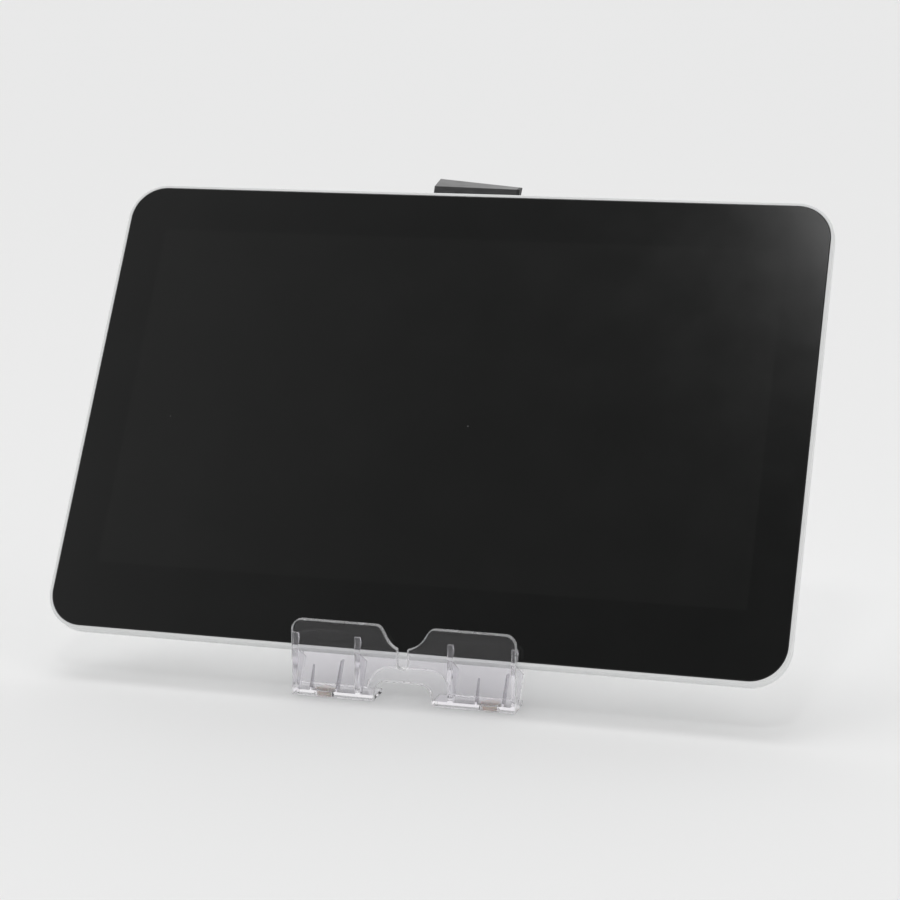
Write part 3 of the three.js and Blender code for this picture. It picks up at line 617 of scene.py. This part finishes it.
for side in (-1, 1):
    for place in range(CONTACTS):
        across = (place - (CONTACTS - 1) / 2) * 0.5 * MM
        contact = add_block("contact", (across - 0.12 * MM, side * 0.35 * MM - 0.03 * MM, -6.2 * MM),
                            (across + 0.12 * MM, side * 0.35 * MM + 0.03 * MM, CONTACT_TIP))
        pick("EDGE", edge_at(CONTACT_TIP))
        bpy.ops.mesh.bevel(offset=0.02 * MM, segments=1, affect="EDGES")
        bpy.ops.object.mode_set(mode="OBJECT")
        contact.data.materials.append(contact_gold)
        contacts.append(contact)
deselect()
for part in [tongue, *contacts]:
    part.select_set(True)
socket_model.select_set(True)
bpy.context.view_layer.objects.active = socket_model
bpy.ops.object.join()
for number, socket_up in enumerate(SOCKET_UP, 1):
    socket = copy_of(socket_model, f"edge_socket_{number}")
    put(socket, slope_place @ left_edge(socket_up))
    hand_over(socket, "display", [f"usb_c_port_{number}"], None)
bpy.data.objects.remove(socket_model)


# ---- Power button -------------------------------------------------------------------------
# A white pill-shaped key on the upper edge, slightly dished for the fingertip. A flange inside
# the shell holds it in, and it sinks half a millimetre.
BUTTON_LENGTH = 10.0 * MM
BUTTON_WIDTH = 2.6 * MM
BUTTON_INNER = -5.2 * MM
BUTTON_PROUD = 0.4 * MM
FLANGE_LENGTH = 12.6 * MM
FLANGE_WIDTH = 3.6 * MM
FLANGE_TOP = BUTTON_INNER + 1.2 * MM

button = rounded_plate("power_key", BUTTON_LENGTH, BUTTON_WIDTH, BUTTON_INNER, BUTTON_PROUD, 1.25 * MM, 10)
pick("EDGE", edge_at(BUTTON_PROUD))
bpy.ops.mesh.bevel(offset=0.25 * MM, segments=4, affect="EDGES")
pick("FACE", face_at(BUTTON_PROUD, 1))
for dish in (0.02, 0.05, 0.03):
    bpy.ops.mesh.inset(thickness=0.2 * MM, depth=-dish * MM, use_even_offset=False)
bpy.ops.object.mode_set(mode="OBJECT")
close_up(button)
flange = rounded_plate("flange", FLANGE_LENGTH, FLANGE_WIDTH, BUTTON_INNER, FLANGE_TOP, 0.6 * MM, 4)
bpy.ops.object.mode_set(mode="OBJECT")
merge_in(button, flange)
put(button, slope_place @ top_edge(BUTTON_X))
hand_over(button, "power_button", ["power_button"], white_plastic)


# ---- Touch switch -------------------------------------------------------------------------
# A small black slider on the upper edge with three grip grooves moulded across its knob. It
# runs along the edge to turn touch input on or off.
SLIDER_LENGTH = 4.0 * MM
SLIDER_WIDTH = 2.1 * MM
SLIDER_PROUD = 0.3 * MM
RUNNER_LENGTH = 8.0 * MM
GROOVE_STEP = 1.1 * MM
GROOVE_HALF = 0.2 * MM
GROOVE_FLOOR = 0.05 * MM

black_plastic = new_finish("black_plastic", (0.022, 0.022, 0.024), 0.5)
blend_colour(black_plastic, add_noise(black_plastic, 60, 3), (0.018, 0.018, 0.020), (0.030, 0.030, 0.032))
vary(black_plastic, add_noise(black_plastic, 120, 2), "Roughness", 0.42, 0.58)
roughen(black_plastic, add_noise(black_plastic, 2400, 1), 0.25, 0.00005)

slider = rounded_plate("touch_slider", SLIDER_LENGTH, SLIDER_WIDTH, BUTTON_INNER, SLIDER_PROUD, 0.4 * MM, 5)
bpy.ops.object.mode_set(mode="OBJECT")
close_up(slider)
for groove in (-1, 0, 1):
    middle = groove * GROOVE_STEP
    carve(slider, add_block("groove", (middle - GROOVE_HALF, -2 * MM, GROOVE_FLOOR),
                            (middle + GROOVE_HALF, 2 * MM, 1 * MM)))
soften_edges(slider, 0.08 * MM, 2, 50)
runner = rounded_plate("runner", RUNNER_LENGTH, FLANGE_WIDTH, BUTTON_INNER, FLANGE_TOP, 0.5 * MM, 4)
bpy.ops.object.mode_set(mode="OBJECT")
merge_in(slider, runner)
put(slider, slope_place @ top_edge(SWITCH_X))
hand_over(slider, "touch_switch", ["touch_switch"], black_plastic)


# ---- Status light -------------------------------------------------------------------------
# A tiny frosted light guide beside the power button, sunk just below the edge. It is unlit.
GUIDE_WIDTH = 1.3 * MM
GUIDE_TOP = -0.2 * MM
GUIDE_LOW = -3.0 * MM

light_plastic = new_finish("light_plastic", (0.62, 0.64, 0.65), 0.45)
blend_colour(light_plastic, add_noise(light_plastic, 700, 2), (0.50, 0.52, 0.53), (0.66, 0.68, 0.69))
light_plastic.node_tree.nodes["Principled BSDF"].inputs["Transmission Weight"].default_value = 0.35

guide = rounded_plate("light_guide", GUIDE_WIDTH, GUIDE_WIDTH, GUIDE_LOW, GUIDE_TOP, 0.6 * MM, 6)
pick("EDGE", edge_at(GUIDE_TOP))
bpy.ops.mesh.bevel(offset=0.3 * MM, segments=4, affect="EDGES")
bpy.ops.object.mode_set(mode="OBJECT")
close_up(guide)
put(guide, slope_place @ top_edge(LIGHT_X))
hand_over(guide, "display", ["status_light"], light_plastic)


# ---- Pen loop -----------------------------------------------------------------------------
# A band of coated grey cloth folded into a wedge-shaped tunnel for the pen, with its two ends
# tucked into the shell. It is open at the left and pinched shut at the right by a darker weld.
LOOP_LEFT = -20.4 * MM
LOOP_RIGHT = 20.6 * MM
LOOP_FRONT = -6.0 * MM
LOOP_CREASE = 5.1 * MM
LOOP_WELD = 19.2 * MM
LOOP_CLOSED = 2.6 * MM
TAB_HALF = 17.7 * MM
RIDGE_LEFT_OVER = 0.4
DEPTH_LEFT_OVER = 0.55
BAND = [(0.4, -6.6), (0.4, -11.6), (13.3, -14.1), (13.85, -13.5), (13.2, -12.7), (6.2, -6.0)]
TUNNEL = [(1.3, -7.6), (1.3, -10.9), (11.3, -12.7), (5.9, -7.2)]


def draw_outline(name, points):
    deselect()
    bpy.ops.mesh.primitive_circle_add(vertices=len(points), radius=1, fill_type="NGON")
    piece = bpy.context.object
    piece.name = name
    piece.data.name = name
    bpy.ops.object.mode_set(mode="EDIT")
    shape = bmesh.from_edit_mesh(piece.data)
    for vert, point in zip(shape.verts, points):
        vert.co = point
    shape.normal_update()
    bmesh.update_edit_mesh(piece.data)
    return piece


# A tunnel of cloth along the edge. Its ridge and its depth both shrink towards the right.
def wedge(name, section, left, right, slices):
    piece = draw_outline(name, [(left, y * MM, z * MM) for y, z in section])
    bpy.ops.mesh.select_all(action="SELECT")
    for step in range(slices):
        bpy.ops.mesh.extrude_region_move(TRANSFORM_OT_translate={"value": ((right - left) / slices, 0, 0)})
    bpy.ops.object.mode_set(mode="OBJECT")
    close_up(piece)
    for vert in piece.data.vertices:
        along = (vert.co.x - LOOP_LEFT) / (LOOP_RIGHT - LOOP_LEFT)
        rise = max(vert.co.y - LOOP_CREASE, 0)
        vert.co.y += BODY_HEIGHT / 2 - rise * along * (1 - RIDGE_LEFT_OVER)
        vert.co.z = LOOP_FRONT + (vert.co.z - LOOP_FRONT) * (1 - along * (1 - DEPTH_LEFT_OVER))
    return piece


loop_band = new_finish("loop_band", (0.05, 0.05, 0.052), 0.42)
band_threads = add_noise(loop_band, 700, 1, (0.25, 2.2, 2.2), LEAN)
blend_colour(loop_band, band_threads, (0.016, 0.016, 0.017), (0.038, 0.038, 0.040))
vary(loop_band, add_noise(loop_band, 160, 3), "Roughness", 0.32, 0.50)
roughen(loop_band, band_threads, 0.35, 0.00008)
loop_band.node_tree.nodes["Principled BSDF"].inputs["Sheen Weight"].default_value = 0.35
loop_weld = new_finish("loop_weld", (0.016, 0.016, 0.017), 0.5)
blend_colour(loop_weld, add_noise(loop_weld, 900, 2), (0.006, 0.006, 0.006), (0.012, 0.012, 0.013))

loop = wedge("pen_band", BAND, LOOP_LEFT, LOOP_RIGHT, 10)
soften_edges(loop, 0.32 * MM, 3, 30)
carve(loop, wedge("tunnel", TUNNEL, LOOP_LEFT - 0.5 * MM, LOOP_RIGHT - LOOP_CLOSED, 1))
merge_in(loop, add_block("tab", (-TAB_HALF, BODY_HEIGHT / 2 - 6.8 * MM, -8.9 * MM),
                         (TAB_HALF, BODY_HEIGHT / 2 + 0.8 * MM, -7.7 * MM)))
merge_in(loop, add_block("bead", (-TAB_HALF, BODY_HEIGHT / 2 - 8.0 * MM, -9.4 * MM),
                         (TAB_HALF, BODY_HEIGHT / 2 - 6.6 * MM, -7.4 * MM)))
bpy.ops.object.mode_set(mode="EDIT")
bpy.ops.mesh.select_all(action="SELECT")
bpy.ops.mesh.bisect(plane_co=(LOOP_WELD, 0, 0), plane_no=(1, 0, 0))
bpy.ops.object.mode_set(mode="OBJECT")
loop.data.materials.append(loop_band)
loop.data.materials.append(loop_weld)
for face in loop.data.polygons:
    face.material_index = 1 if face.center.x > LOOP_WELD else 0
put(loop, slope_place)
hand_over(loop, "display", ["pen_loop"], None, 50)


# ---- Front of the stand -------------------------------------------------------------------
# A clear moulding that the display's lower edge sits in: a front plate with two rounded lobes
# and an arch, four upright ribs, two soles, and two thin webs beside each pad.
STAND_HALF = 50.2
ARCH_HALF = 13.0
ARCH_ROUND = 6.0
ARCH_LOW = 3.6
SHOULDER = 5.0
LOBE_LEFT = 12.0
LOBE_RIGHT = 14.6
SHEET = 2.6
PLATE_FRONT = -3.4
PLATE_REAR = -0.8
SOLE_UNDER = 0.5
SOLE_TOP = 2.5
RIB_UNDER = 0.56
RIB_THICK = 2.44
RIB_TOP = 28.0
WEB_HALF = 0.5
WEB_FOOT = 2.2
WEB_TOP = 14.2
GUSSET_SHIFT = -5.0
STRIP_SHIFT = 6.75
STRIP_DEPTH = 3.0
SOLE_INNER = 13.05
SOLE_OUTER = 50.14
SOLE_DEPTH = 9.8
FIT = 0.3
EDGE_HEIGHT = 21.0
PLATE_TOP = EDGE_HEIGHT + 13.7
NOTCH_TOP = EDGE_HEIGHT + 3.6
NOTCH_HALF = 2.25
NOTCH_LOW = 18.0
BACK_FACE = 12.3
RIB_PLACES = (-48.95, -20.8, 20.8, 48.95)
PAD_PLACES = (-37.3, 37.3)
PAD_BACK = 5.0
PAD_RADIUS = 4.35
cradle_low, cradle_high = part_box("stand_cradle")
stand_middle = Vector(((cradle_low.x + cradle_high.x) / 2, cradle_low.y - PLATE_FRONT * MM, 0))
stand_place = Matrix.Translation(stand_middle) @ Matrix.Scale(MM, 4)
stand_slope = (Matrix.Translation(stand_middle + Vector((0, 0, EDGE_HEIGHT * MM)))
               @ Matrix.Rotation(LEAN, 4, "X") @ Matrix.Scale(MM, 4))


# The stand's pieces are drawn in millimetres and brought to size when they are put in place.
def thicken(piece, way, bevel=0.0):
    way = Vector(way)
    bpy.ops.mesh.select_all(action="SELECT")
    bpy.ops.mesh.extrude_region_move(TRANSFORM_OT_translate={"value": way})
    bpy.ops.mesh.select_all(action="SELECT")
    bpy.ops.mesh.normals_make_consistent(inside=False)
    if bevel:
        line = way.normalized()
        pick("EDGE", lambda edge: abs((edge.verts[1].co - edge.verts[0].co).normalized().dot(line)) < 0.5)
        bpy.ops.mesh.bevel(offset=bevel, segments=3, affect="EDGES", clamp_overlap=False)
    bpy.ops.object.mode_set(mode="OBJECT")
    close_up(piece)
    return piece


def arc(middle, radius, start, stop, steps):
    turns = [math.radians(start + (stop - start) * n / steps) for n in range(steps + 1)]
    return [(middle[0] + radius * math.cos(t), middle[1] + radius * math.sin(t)) for t in turns]


def sweep(start, leaving, arriving, stop, steps):
    points = []
    for step in range(steps + 1):
        t = step / steps
        pulls = ((1 - t) ** 3, 3 * t * (1 - t) ** 2, 3 * t ** 2 * (1 - t), t ** 3)
        handles = (start, leaving, arriving, stop)
        points.append(tuple(sum(pull * point[k] for pull, point in zip(pulls, handles)) for k in (0, 1)))
    return points


def mirrored(points):
    return [(-x, z) for x, z in reversed(points)]


def up_slope(up, behind):
    return (up * math.cos(LEAN) + behind * math.sin(LEAN),
            EDGE_HEIGHT + up * math.sin(LEAN) - behind * math.cos(LEAN))


CLEAR_BEND = 1.34
CLEAR_PASS = (0.90, 0.90, 0.905, 1)


# Soft daylight and shadow rays pass straight through, so what lies behind stays bright.
def clear_finish(name, colour, clearness=1.0, smoothest=0.02, roughest=0.07):
    finish = new_finish(name, colour, 0.03)
    nodes = finish.node_tree.nodes
    links = finish.node_tree.links
    shader = nodes["Principled BSDF"]
    shader.inputs["Transmission Weight"].default_value = clearness
    shader.inputs["IOR"].default_value = CLEAR_BEND
    blend_colour(finish, add_noise(finish, 20, 2), colour, tuple(min(1.0, 1.03 * c) for c in colour))
    vary(finish, add_noise(finish, 150, 3), "Roughness", smoothest, roughest)
    roughen(finish, add_noise(finish, 70, 2, (1, 1, 0.35)), 0.05, 0.0006)
    path = nodes.new("ShaderNodeLightPath")
    passing = nodes.new("ShaderNodeMath")
    passing.operation = "MAXIMUM"
    hole = nodes.new("ShaderNodeBsdfTransparent")
    hole.inputs["Color"].default_value = CLEAR_PASS
    mix = nodes.new("ShaderNodeMixShader")
    links.new(path.outputs["Is Shadow Ray"], passing.inputs[0])
    links.new(path.outputs["Is Diffuse Ray"], passing.inputs[1])
    links.new(passing.outputs["Value"], mix.inputs["Fac"])
    links.new(shader.outputs["BSDF"], mix.inputs[1])
    links.new(hole.outputs["BSDF"], mix.inputs[2])
    links.new(mix.outputs["Shader"], nodes["Material Output"].inputs["Surface"])
    return finish


clear_plastic = clear_finish("clear_plastic", (0.945, 0.935, 0.955))
# Paler, part-diffuse finish for the cut edges of the clear pieces: a painted highlight.
clear_edge_painted_highlight = clear_finish("clear_edge_painted_highlight", (0.90, 0.90, 0.905), 0.70, 0.22, 0.32)
# The webs and ribs get greyer, hazier finishes than the plate they are moulded with: painted shade.
clear_web_painted_shade = clear_finish("clear_web_painted_shade", (0.66, 0.65, 0.68))
clear_rib_painted_shade = clear_finish("clear_rib_painted_shade", (0.90, 0.89, 0.92), 0.85, 0.08, 0.14)


# The cut edges of a plate get a paler, hazier finish than its faces: a painted highlight for the light they
# catch.
def paint_edge_highlights(piece, on_edge):
    piece.data.materials.append(clear_plastic)
    piece.data.materials.append(clear_edge_painted_highlight)
    for face in piece.data.polygons:
        face.material_index = 1 if on_edge(face) else 0


def half_outline(lobe):
    points = [(ARCH_HALF, SOLE_UNDER), (STAND_HALF, SOLE_UNDER)]
    points += arc((STAND_HALF - SHOULDER, PLATE_TOP - SHOULDER), SHOULDER, 0, 90, 9)
    points += sweep((lobe, PLATE_TOP), (lobe - 4.6, PLATE_TOP), (lobe - 3.4, NOTCH_TOP + 2.6),
                    (NOTCH_HALF, NOTCH_TOP), 14)
    return points + arc((0, NOTCH_LOW), NOTCH_HALF, 0, -90, 6)


arch = arc((ARCH_HALF - ARCH_ROUND, ARCH_LOW), ARCH_ROUND, 90, 0, 9)
plate_points = half_outline(LOBE_RIGHT)[:-1] + mirrored(half_outline(LOBE_LEFT)) + mirrored(arch) + arch
stand_front = draw_outline("stand_front", [(x, PLATE_FRONT, z) for x, z in plate_points])
thicken(stand_front, (0, SHEET, 0), 0.4)

rib_front = PLATE_REAR - 0.4
rib_rear = BACK_FACE - FIT
rib_fall = (SOLE_TOP - up_slope(0, rib_rear)[1]) / math.sin(LEAN)
rib_points = [
    (rib_front, RIB_UNDER), (up_slope(rib_fall, rib_rear)[0], RIB_UNDER), up_slope(rib_fall, rib_rear),
    up_slope(-0.35, rib_rear), up_slope(-0.35, -0.6), up_slope(4.4, -0.6),
    (1.3, RIB_TOP - 1.0), (0.8, RIB_TOP - 0.3), (0.0, RIB_TOP), (rib_front, RIB_TOP),
]
for rib_x in RIB_PLACES:
    rib = draw_outline("rib", [(rib_x - RIB_THICK / 2, y, z) for y, z in rib_points])
    merge_in(stand_front, thicken(rib, (RIB_THICK, 0, 0), 0.2))
for side in (-1, 1):
    ends = sorted((side * SOLE_INNER, side * SOLE_OUTER))
    sole = add_block("sole", (ends[0], PLATE_REAR - 0.5, SOLE_UNDER + 0.03), (ends[1], SOLE_DEPTH, SOLE_TOP))
    bpy.ops.mesh.select_all(action="SELECT")
    bpy.ops.mesh.bevel(offset=0.3, segments=2, affect="EDGES")
    bpy.ops.object.mode_set(mode="OBJECT")
    merge_in(stand_front, sole)


def rear_at(z):
    return up_slope((z - up_slope(0, rib_rear)[1]) / math.sin(LEAN), rib_rear)[0]


web_start = [(rib_front, WEB_FOOT), (rear_at(WEB_FOOT), WEB_FOOT)]
gusset_points = [*web_start, (4.4, 12.8)]
strip_points = [*web_start, (rear_at(WEB_TOP), WEB_TOP), (rear_at(WEB_TOP) - STRIP_DEPTH, WEB_TOP)]
for pad_x in PAD_PLACES:
    for shift, web_points in ((GUSSET_SHIFT, gusset_points), (STRIP_SHIFT, strip_points)):
        web = draw_outline("web", [(pad_x + shift - WEB_HALF, y, z) for y, z in web_points])
        merge_in(stand_front, thicken(web, (2 * WEB_HALF, 0, 0), 0.12))
for pad_x in PAD_PLACES:
    carve(stand_front, round_rod("pad_recess", PAD_RADIUS + FIT, -1, 1.9, (pad_x, PAD_BACK), 48))
paint_edge_highlights(stand_front, lambda face: abs(face.normal.y) < 0.97 and face.center.y < PLATE_REAR)
# Faces of the webs and ribs behind the plate take the greyer finishes, which are painted shade.
stand_front.data.materials.append(clear_web_painted_shade)
stand_front.data.materials.append(clear_rib_painted_shade)
for face in stand_front.data.polygons:
    if face.center.y > PLATE_REAR + 0.05 and face.center.z > SOLE_TOP:
        from_rib = min(abs(face.center.x - rib_x) for rib_x in RIB_PLACES)
        face.material_index = 3 if from_rib < RIB_THICK / 2 + 0.02 else 2
put(stand_front, stand_place)
hand_over(stand_front, "stand", ["stand_cradle"], None, 25)


# ---- Back plate of the stand --------------------------------------------------------------
# The second clear moulding, which the display leans on. It narrows towards the top, stands on
# two legs either side of an arch, and carries two eyes for the hinge pin.
BACK_BOTTOM = -11.9
BACK_TOP = 150.0
BACK_TOP_HALF = 30.0
BACK_CORNER = 12
BACK_LEG = 18
BACK_ARCH = 9
HINGE_UP = 120.0
HINGE_BACK = 18.6
KNUCKLE = 3.4
PIN_BORE = 1.8
EYE_INNER = 14.3
EYE_OUTER = 22.0


def side_on(name, points, left, right, bevel=0.0):
    return thicken(draw_outline(name, [(left, up, out) for up, out in points]), (right - left, 0, 0), bevel)


hinge_line = Matrix.Translation((0, HINGE_UP, -HINGE_BACK)) @ Matrix.Rotation(math.pi / 2, 4, "Y")


def pin_bore():
    bore = round_rod("pin_bore", PIN_BORE, -40, 40, (0, 0), 32)
    put(bore, hinge_line)
    return bore


back_half = [(BACK_LEG, BACK_BOTTOM), (STAND_HALF, BACK_BOTTOM)]
back_half += sweep((STAND_HALF, 12), (STAND_HALF, 40), (BACK_TOP_HALF, 50), (BACK_TOP_HALF, 90), 24)
back_half += arc((BACK_TOP_HALF - BACK_CORNER, BACK_TOP - BACK_CORNER), BACK_CORNER, 0, 90, 12)
back_arch = arc((BACK_ARCH, BACK_BOTTOM), BACK_ARCH, 90, 0, 10)
back_arch = [(x, BACK_BOTTOM + 1.1 * (up - BACK_BOTTOM)) for x, up in back_arch][:-1]
back_points = back_half + mirrored(back_half) + mirrored(back_arch) + back_arch
back_plate = draw_outline("stand_back", [(x, up, -BACK_FACE - SHEET) for x, up in back_points])
thicken(back_plate, (0, 0, SHEET), 0.4)
ear_points = [(HINGE_UP - KNUCKLE, -BACK_FACE - SHEET + 0.4)]
ear_points += arc((HINGE_UP, -HINGE_BACK), KNUCKLE, 180, 360, 14)
ear_points += [(HINGE_UP + KNUCKLE, -BACK_FACE - SHEET + 0.4)]
for left, right in ((-EYE_OUTER, -EYE_INNER), (EYE_INNER, EYE_OUTER)):
    merge_in(back_plate, side_on("hinge_eye", ear_points, left, right, 0.3))
carve(back_plate, pin_bore())
paint_edge_highlights(back_plate, lambda face: abs(face.normal.z) < 0.97 and face.center.z > -BACK_FACE - SHEET)
put(back_plate, stand_slope)
hand_over(back_plate, "stand", ["stand_back_plate"], None, 25)


# ---- Rear strut ---------------------------------------------------------------------------
# A flat clear leg that swings out on the pin and folds flat against the back plate. Its heel
# meets the plate when the leg is open, and its foot is cut level with the table.
STRUT_OPEN = math.radians(49)
STRUT_HALF = 26.0
STRUT_START = 4.6
STRUT_END = 113.0
STRUT_FOOT = 114.0
FOOT_HALF = 4.0
FOOT_UPPER = 5
FOOT_UNDER = 1.5
KNUCKLE_HALF = 14.0
HEEL_FACE = -BACK_FACE - SHEET - 0.35


def down_strut(along, across):
    return (HINGE_UP - math.cos(STRUT_OPEN) * along - math.sin(STRUT_OPEN) * across,
            -HINGE_BACK - math.sin(STRUT_OPEN) * along + math.cos(STRUT_OPEN) * across)


def to_slope(y, z):
    rise = z - EDGE_HEIGHT
    return (y * math.cos(LEAN) + rise * math.sin(LEAN), rise * math.cos(LEAN) - y * math.sin(LEAN))


leg_points = [
    down_strut(STRUT_START, -SHEET / 2), down_strut(STRUT_START, SHEET / 2),
    down_strut(STRUT_END, SHEET / 2),
    to_slope(STRUT_FOOT - FOOT_HALF, FOOT_UPPER), to_slope(STRUT_FOOT - FOOT_HALF, FOOT_UNDER),
    to_slope(STRUT_FOOT + FOOT_HALF, FOOT_UNDER), to_slope(STRUT_FOOT + FOOT_HALF, FOOT_UPPER),
    down_strut(STRUT_END, -SHEET / 2),
]
neck_points = [down_strut(0, -SHEET / 2), down_strut(STRUT_START + 1, -SHEET / 2),
               down_strut(STRUT_START + 1, SHEET / 2), down_strut(0, SHEET / 2)]
heel_points = [
    (HINGE_UP - 0.5, -HINGE_BACK + 1), (HINGE_UP + 1, HEEL_FACE), (HINGE_UP + 6, HEEL_FACE),
    (HINGE_UP + 6, -HINGE_BACK + 0.6), (HINGE_UP, -HINGE_BACK - 2),
]
strut = side_on("stand_strut", leg_points, -STRUT_HALF, STRUT_HALF, 0.35)
merge_in(strut, side_on("neck", neck_points, 0.06 - KNUCKLE_HALF, KNUCKLE_HALF - 0.06))
merge_in(strut, side_on("heel", heel_points, 0.12 - KNUCKLE_HALF, KNUCKLE_HALF - 0.12))
knuckle = round_rod("knuckle", KNUCKLE, -KNUCKLE_HALF, KNUCKLE_HALF, (0, 0), 40, 0.3)
put(knuckle, hinge_line)
merge_in(strut, knuckle)
carve(strut, pin_bore())
paint_edge_highlights(strut, lambda face: abs(face.normal.x) > 0.3)
put(strut, stand_slope)
hand_over(strut, "strut", ["rear_strut"], None, 25)


# ---- Hinge pin ----------------------------------------------------------------------------
# A plain ground steel pin with rounded ends, pressed through both eyes of the back plate. The
# strut's knuckle turns on it.
PIN_RADIUS = 1.5
PIN_HALF = 23.0

pin_steel = steel_finish("pin_steel", (0.66, 0.67, 0.68), (0.05, 1, 1))
pin = round_rod("hinge_rod", PIN_RADIUS, -PIN_HALF, PIN_HALF, (0, 0), 32, 0.45)
put(pin, stand_slope @ hinge_line)
hand_over(pin, "stand", ["strut_hinge_pin"], pin_steel)


# ---- Stand pads ---------------------------------------------------------------------------
# Two soft amber pads pressed up into the soles, and a ridged grey pad glued under the strut's
# foot. They keep the stand from sliding.
PAD_TOP = 1.6
FOOT_PAD_LENGTH = 48.0
FOOT_PAD_WIDTH = 6.8
FOOT_PAD_TOP = 1.2

amber = new_finish("amber_pad", (0.78, 0.69, 0.62), 0.55)
blend_colour(amber, add_noise(amber, 160, 3), (0.72, 0.63, 0.56), (0.84, 0.76, 0.69))
vary(amber, add_noise(amber, 300, 2), "Roughness", 0.45, 0.65)
amber.node_tree.nodes["Principled BSDF"].inputs["Subsurface Weight"].default_value = 0.2
amber.node_tree.nodes["Principled BSDF"].inputs["Subsurface Scale"].default_value = 0.002
for pad_x, side in zip(PAD_PLACES, ("left", "right")):
    pad = round_rod(f"soft_pad_{side}", PAD_RADIUS, 0, PAD_TOP, (pad_x, PAD_BACK), 48, 0.35)
    bpy.ops.object.mode_set(mode="EDIT")
    pick("FACE", face_at(PAD_TOP, 1))
    bpy.ops.mesh.inset(thickness=1.2, depth=-0.15)
    bpy.ops.mesh.inset(thickness=0.8, depth=-0.05)
    bpy.ops.object.mode_set(mode="OBJECT")
    put(pad, stand_place)
    hand_over(pad, "stand", [f"stand_pad_{side}"], amber)

foot_pad = rounded_plate("strut_pad", FOOT_PAD_LENGTH, FOOT_PAD_WIDTH, 0, FOOT_PAD_TOP, 1.5, 6,
                         (0, STRUT_FOOT))
pick("EDGE", edge_at(0))
bpy.ops.mesh.bevel(offset=0.2, segments=2, affect="EDGES")
pick("FACE", face_at(0, -1))
bpy.ops.mesh.inset(thickness=0.35, depth=0)
bpy.ops.mesh.inset(thickness=0.15, depth=-0.2)
bpy.ops.mesh.inset(thickness=0.3, depth=0)
bpy.ops.mesh.inset(thickness=0.15, depth=0.2)
bpy.ops.object.mode_set(mode="OBJECT")
close_up(foot_pad)
put(foot_pad, stand_place)
hand_over(foot_pad, "strut", ["strut_foot_pad"], grey_rubber)


# ---- Inside the display -------------------------------------------------------------------
# Films, boards, sheet steel and flat cables in a stack behind the glass, with the cover screws.
# They keep their own shapes here, and each gets the finish of its real material.
def dress(finish, *nodes):
    for node in nodes:
        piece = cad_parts[node]
        piece.data.materials.clear()
        piece.data.materials.append(finish)


film = new_finish("panel_film", (0.30, 0.33, 0.35), 0.16)
blend_colour(film, add_noise(film, 12, 2), (0.26, 0.29, 0.31), (0.34, 0.37, 0.39))
vary(film, add_noise(film, 60, 2), "Roughness", 0.10, 0.22)
board_green = new_finish("board_green", (0.02, 0.12, 0.06), 0.35)
board_tracks = add_noise(board_green, 140, 2, (1, 6, 6), LEAN)
blend_colour(board_green, board_tracks, (0.012, 0.085, 0.04), (0.03, 0.16, 0.085))
vary(board_green, add_noise(board_green, 300, 2), "Roughness", 0.28, 0.45)
roughen(board_green, add_noise(board_green, 320, 1, (1, 8, 8), LEAN), 0.2, 0.00003)
flex_amber = new_finish("flex_amber", (0.45, 0.20, 0.03), 0.28)
flex_tracks = add_noise(flex_amber, 500, 1, (3, 0.1, 0.1), LEAN)
blend_colour(flex_amber, flex_tracks, (0.33, 0.14, 0.02), (0.50, 0.25, 0.05))
vary(flex_amber, add_noise(flex_amber, 200, 2), "Roughness", 0.20, 0.36)
sheet_steel = steel_finish("sheet_steel", (0.58, 0.59, 0.60), (0.1, 1, 1))
screw_steel = steel_finish("screw_steel", (0.42, 0.43, 0.44))
dress(film, "touch_sensor", "lcd_panel")
dress(black_plastic, "glass_gasket", "backlight_unit")
dress(board_green, "pen_sensor_board", "main_board", "lcd_driver_board")
dress(flex_amber, "lcd_flex_cable", "board_link_cable")
dress(sheet_steel, "shield_plate", "main_board_can", "backlight_led_bar")
dress(screw_steel, *[f"cover_screw_{n}" for n in range(1, 5)])
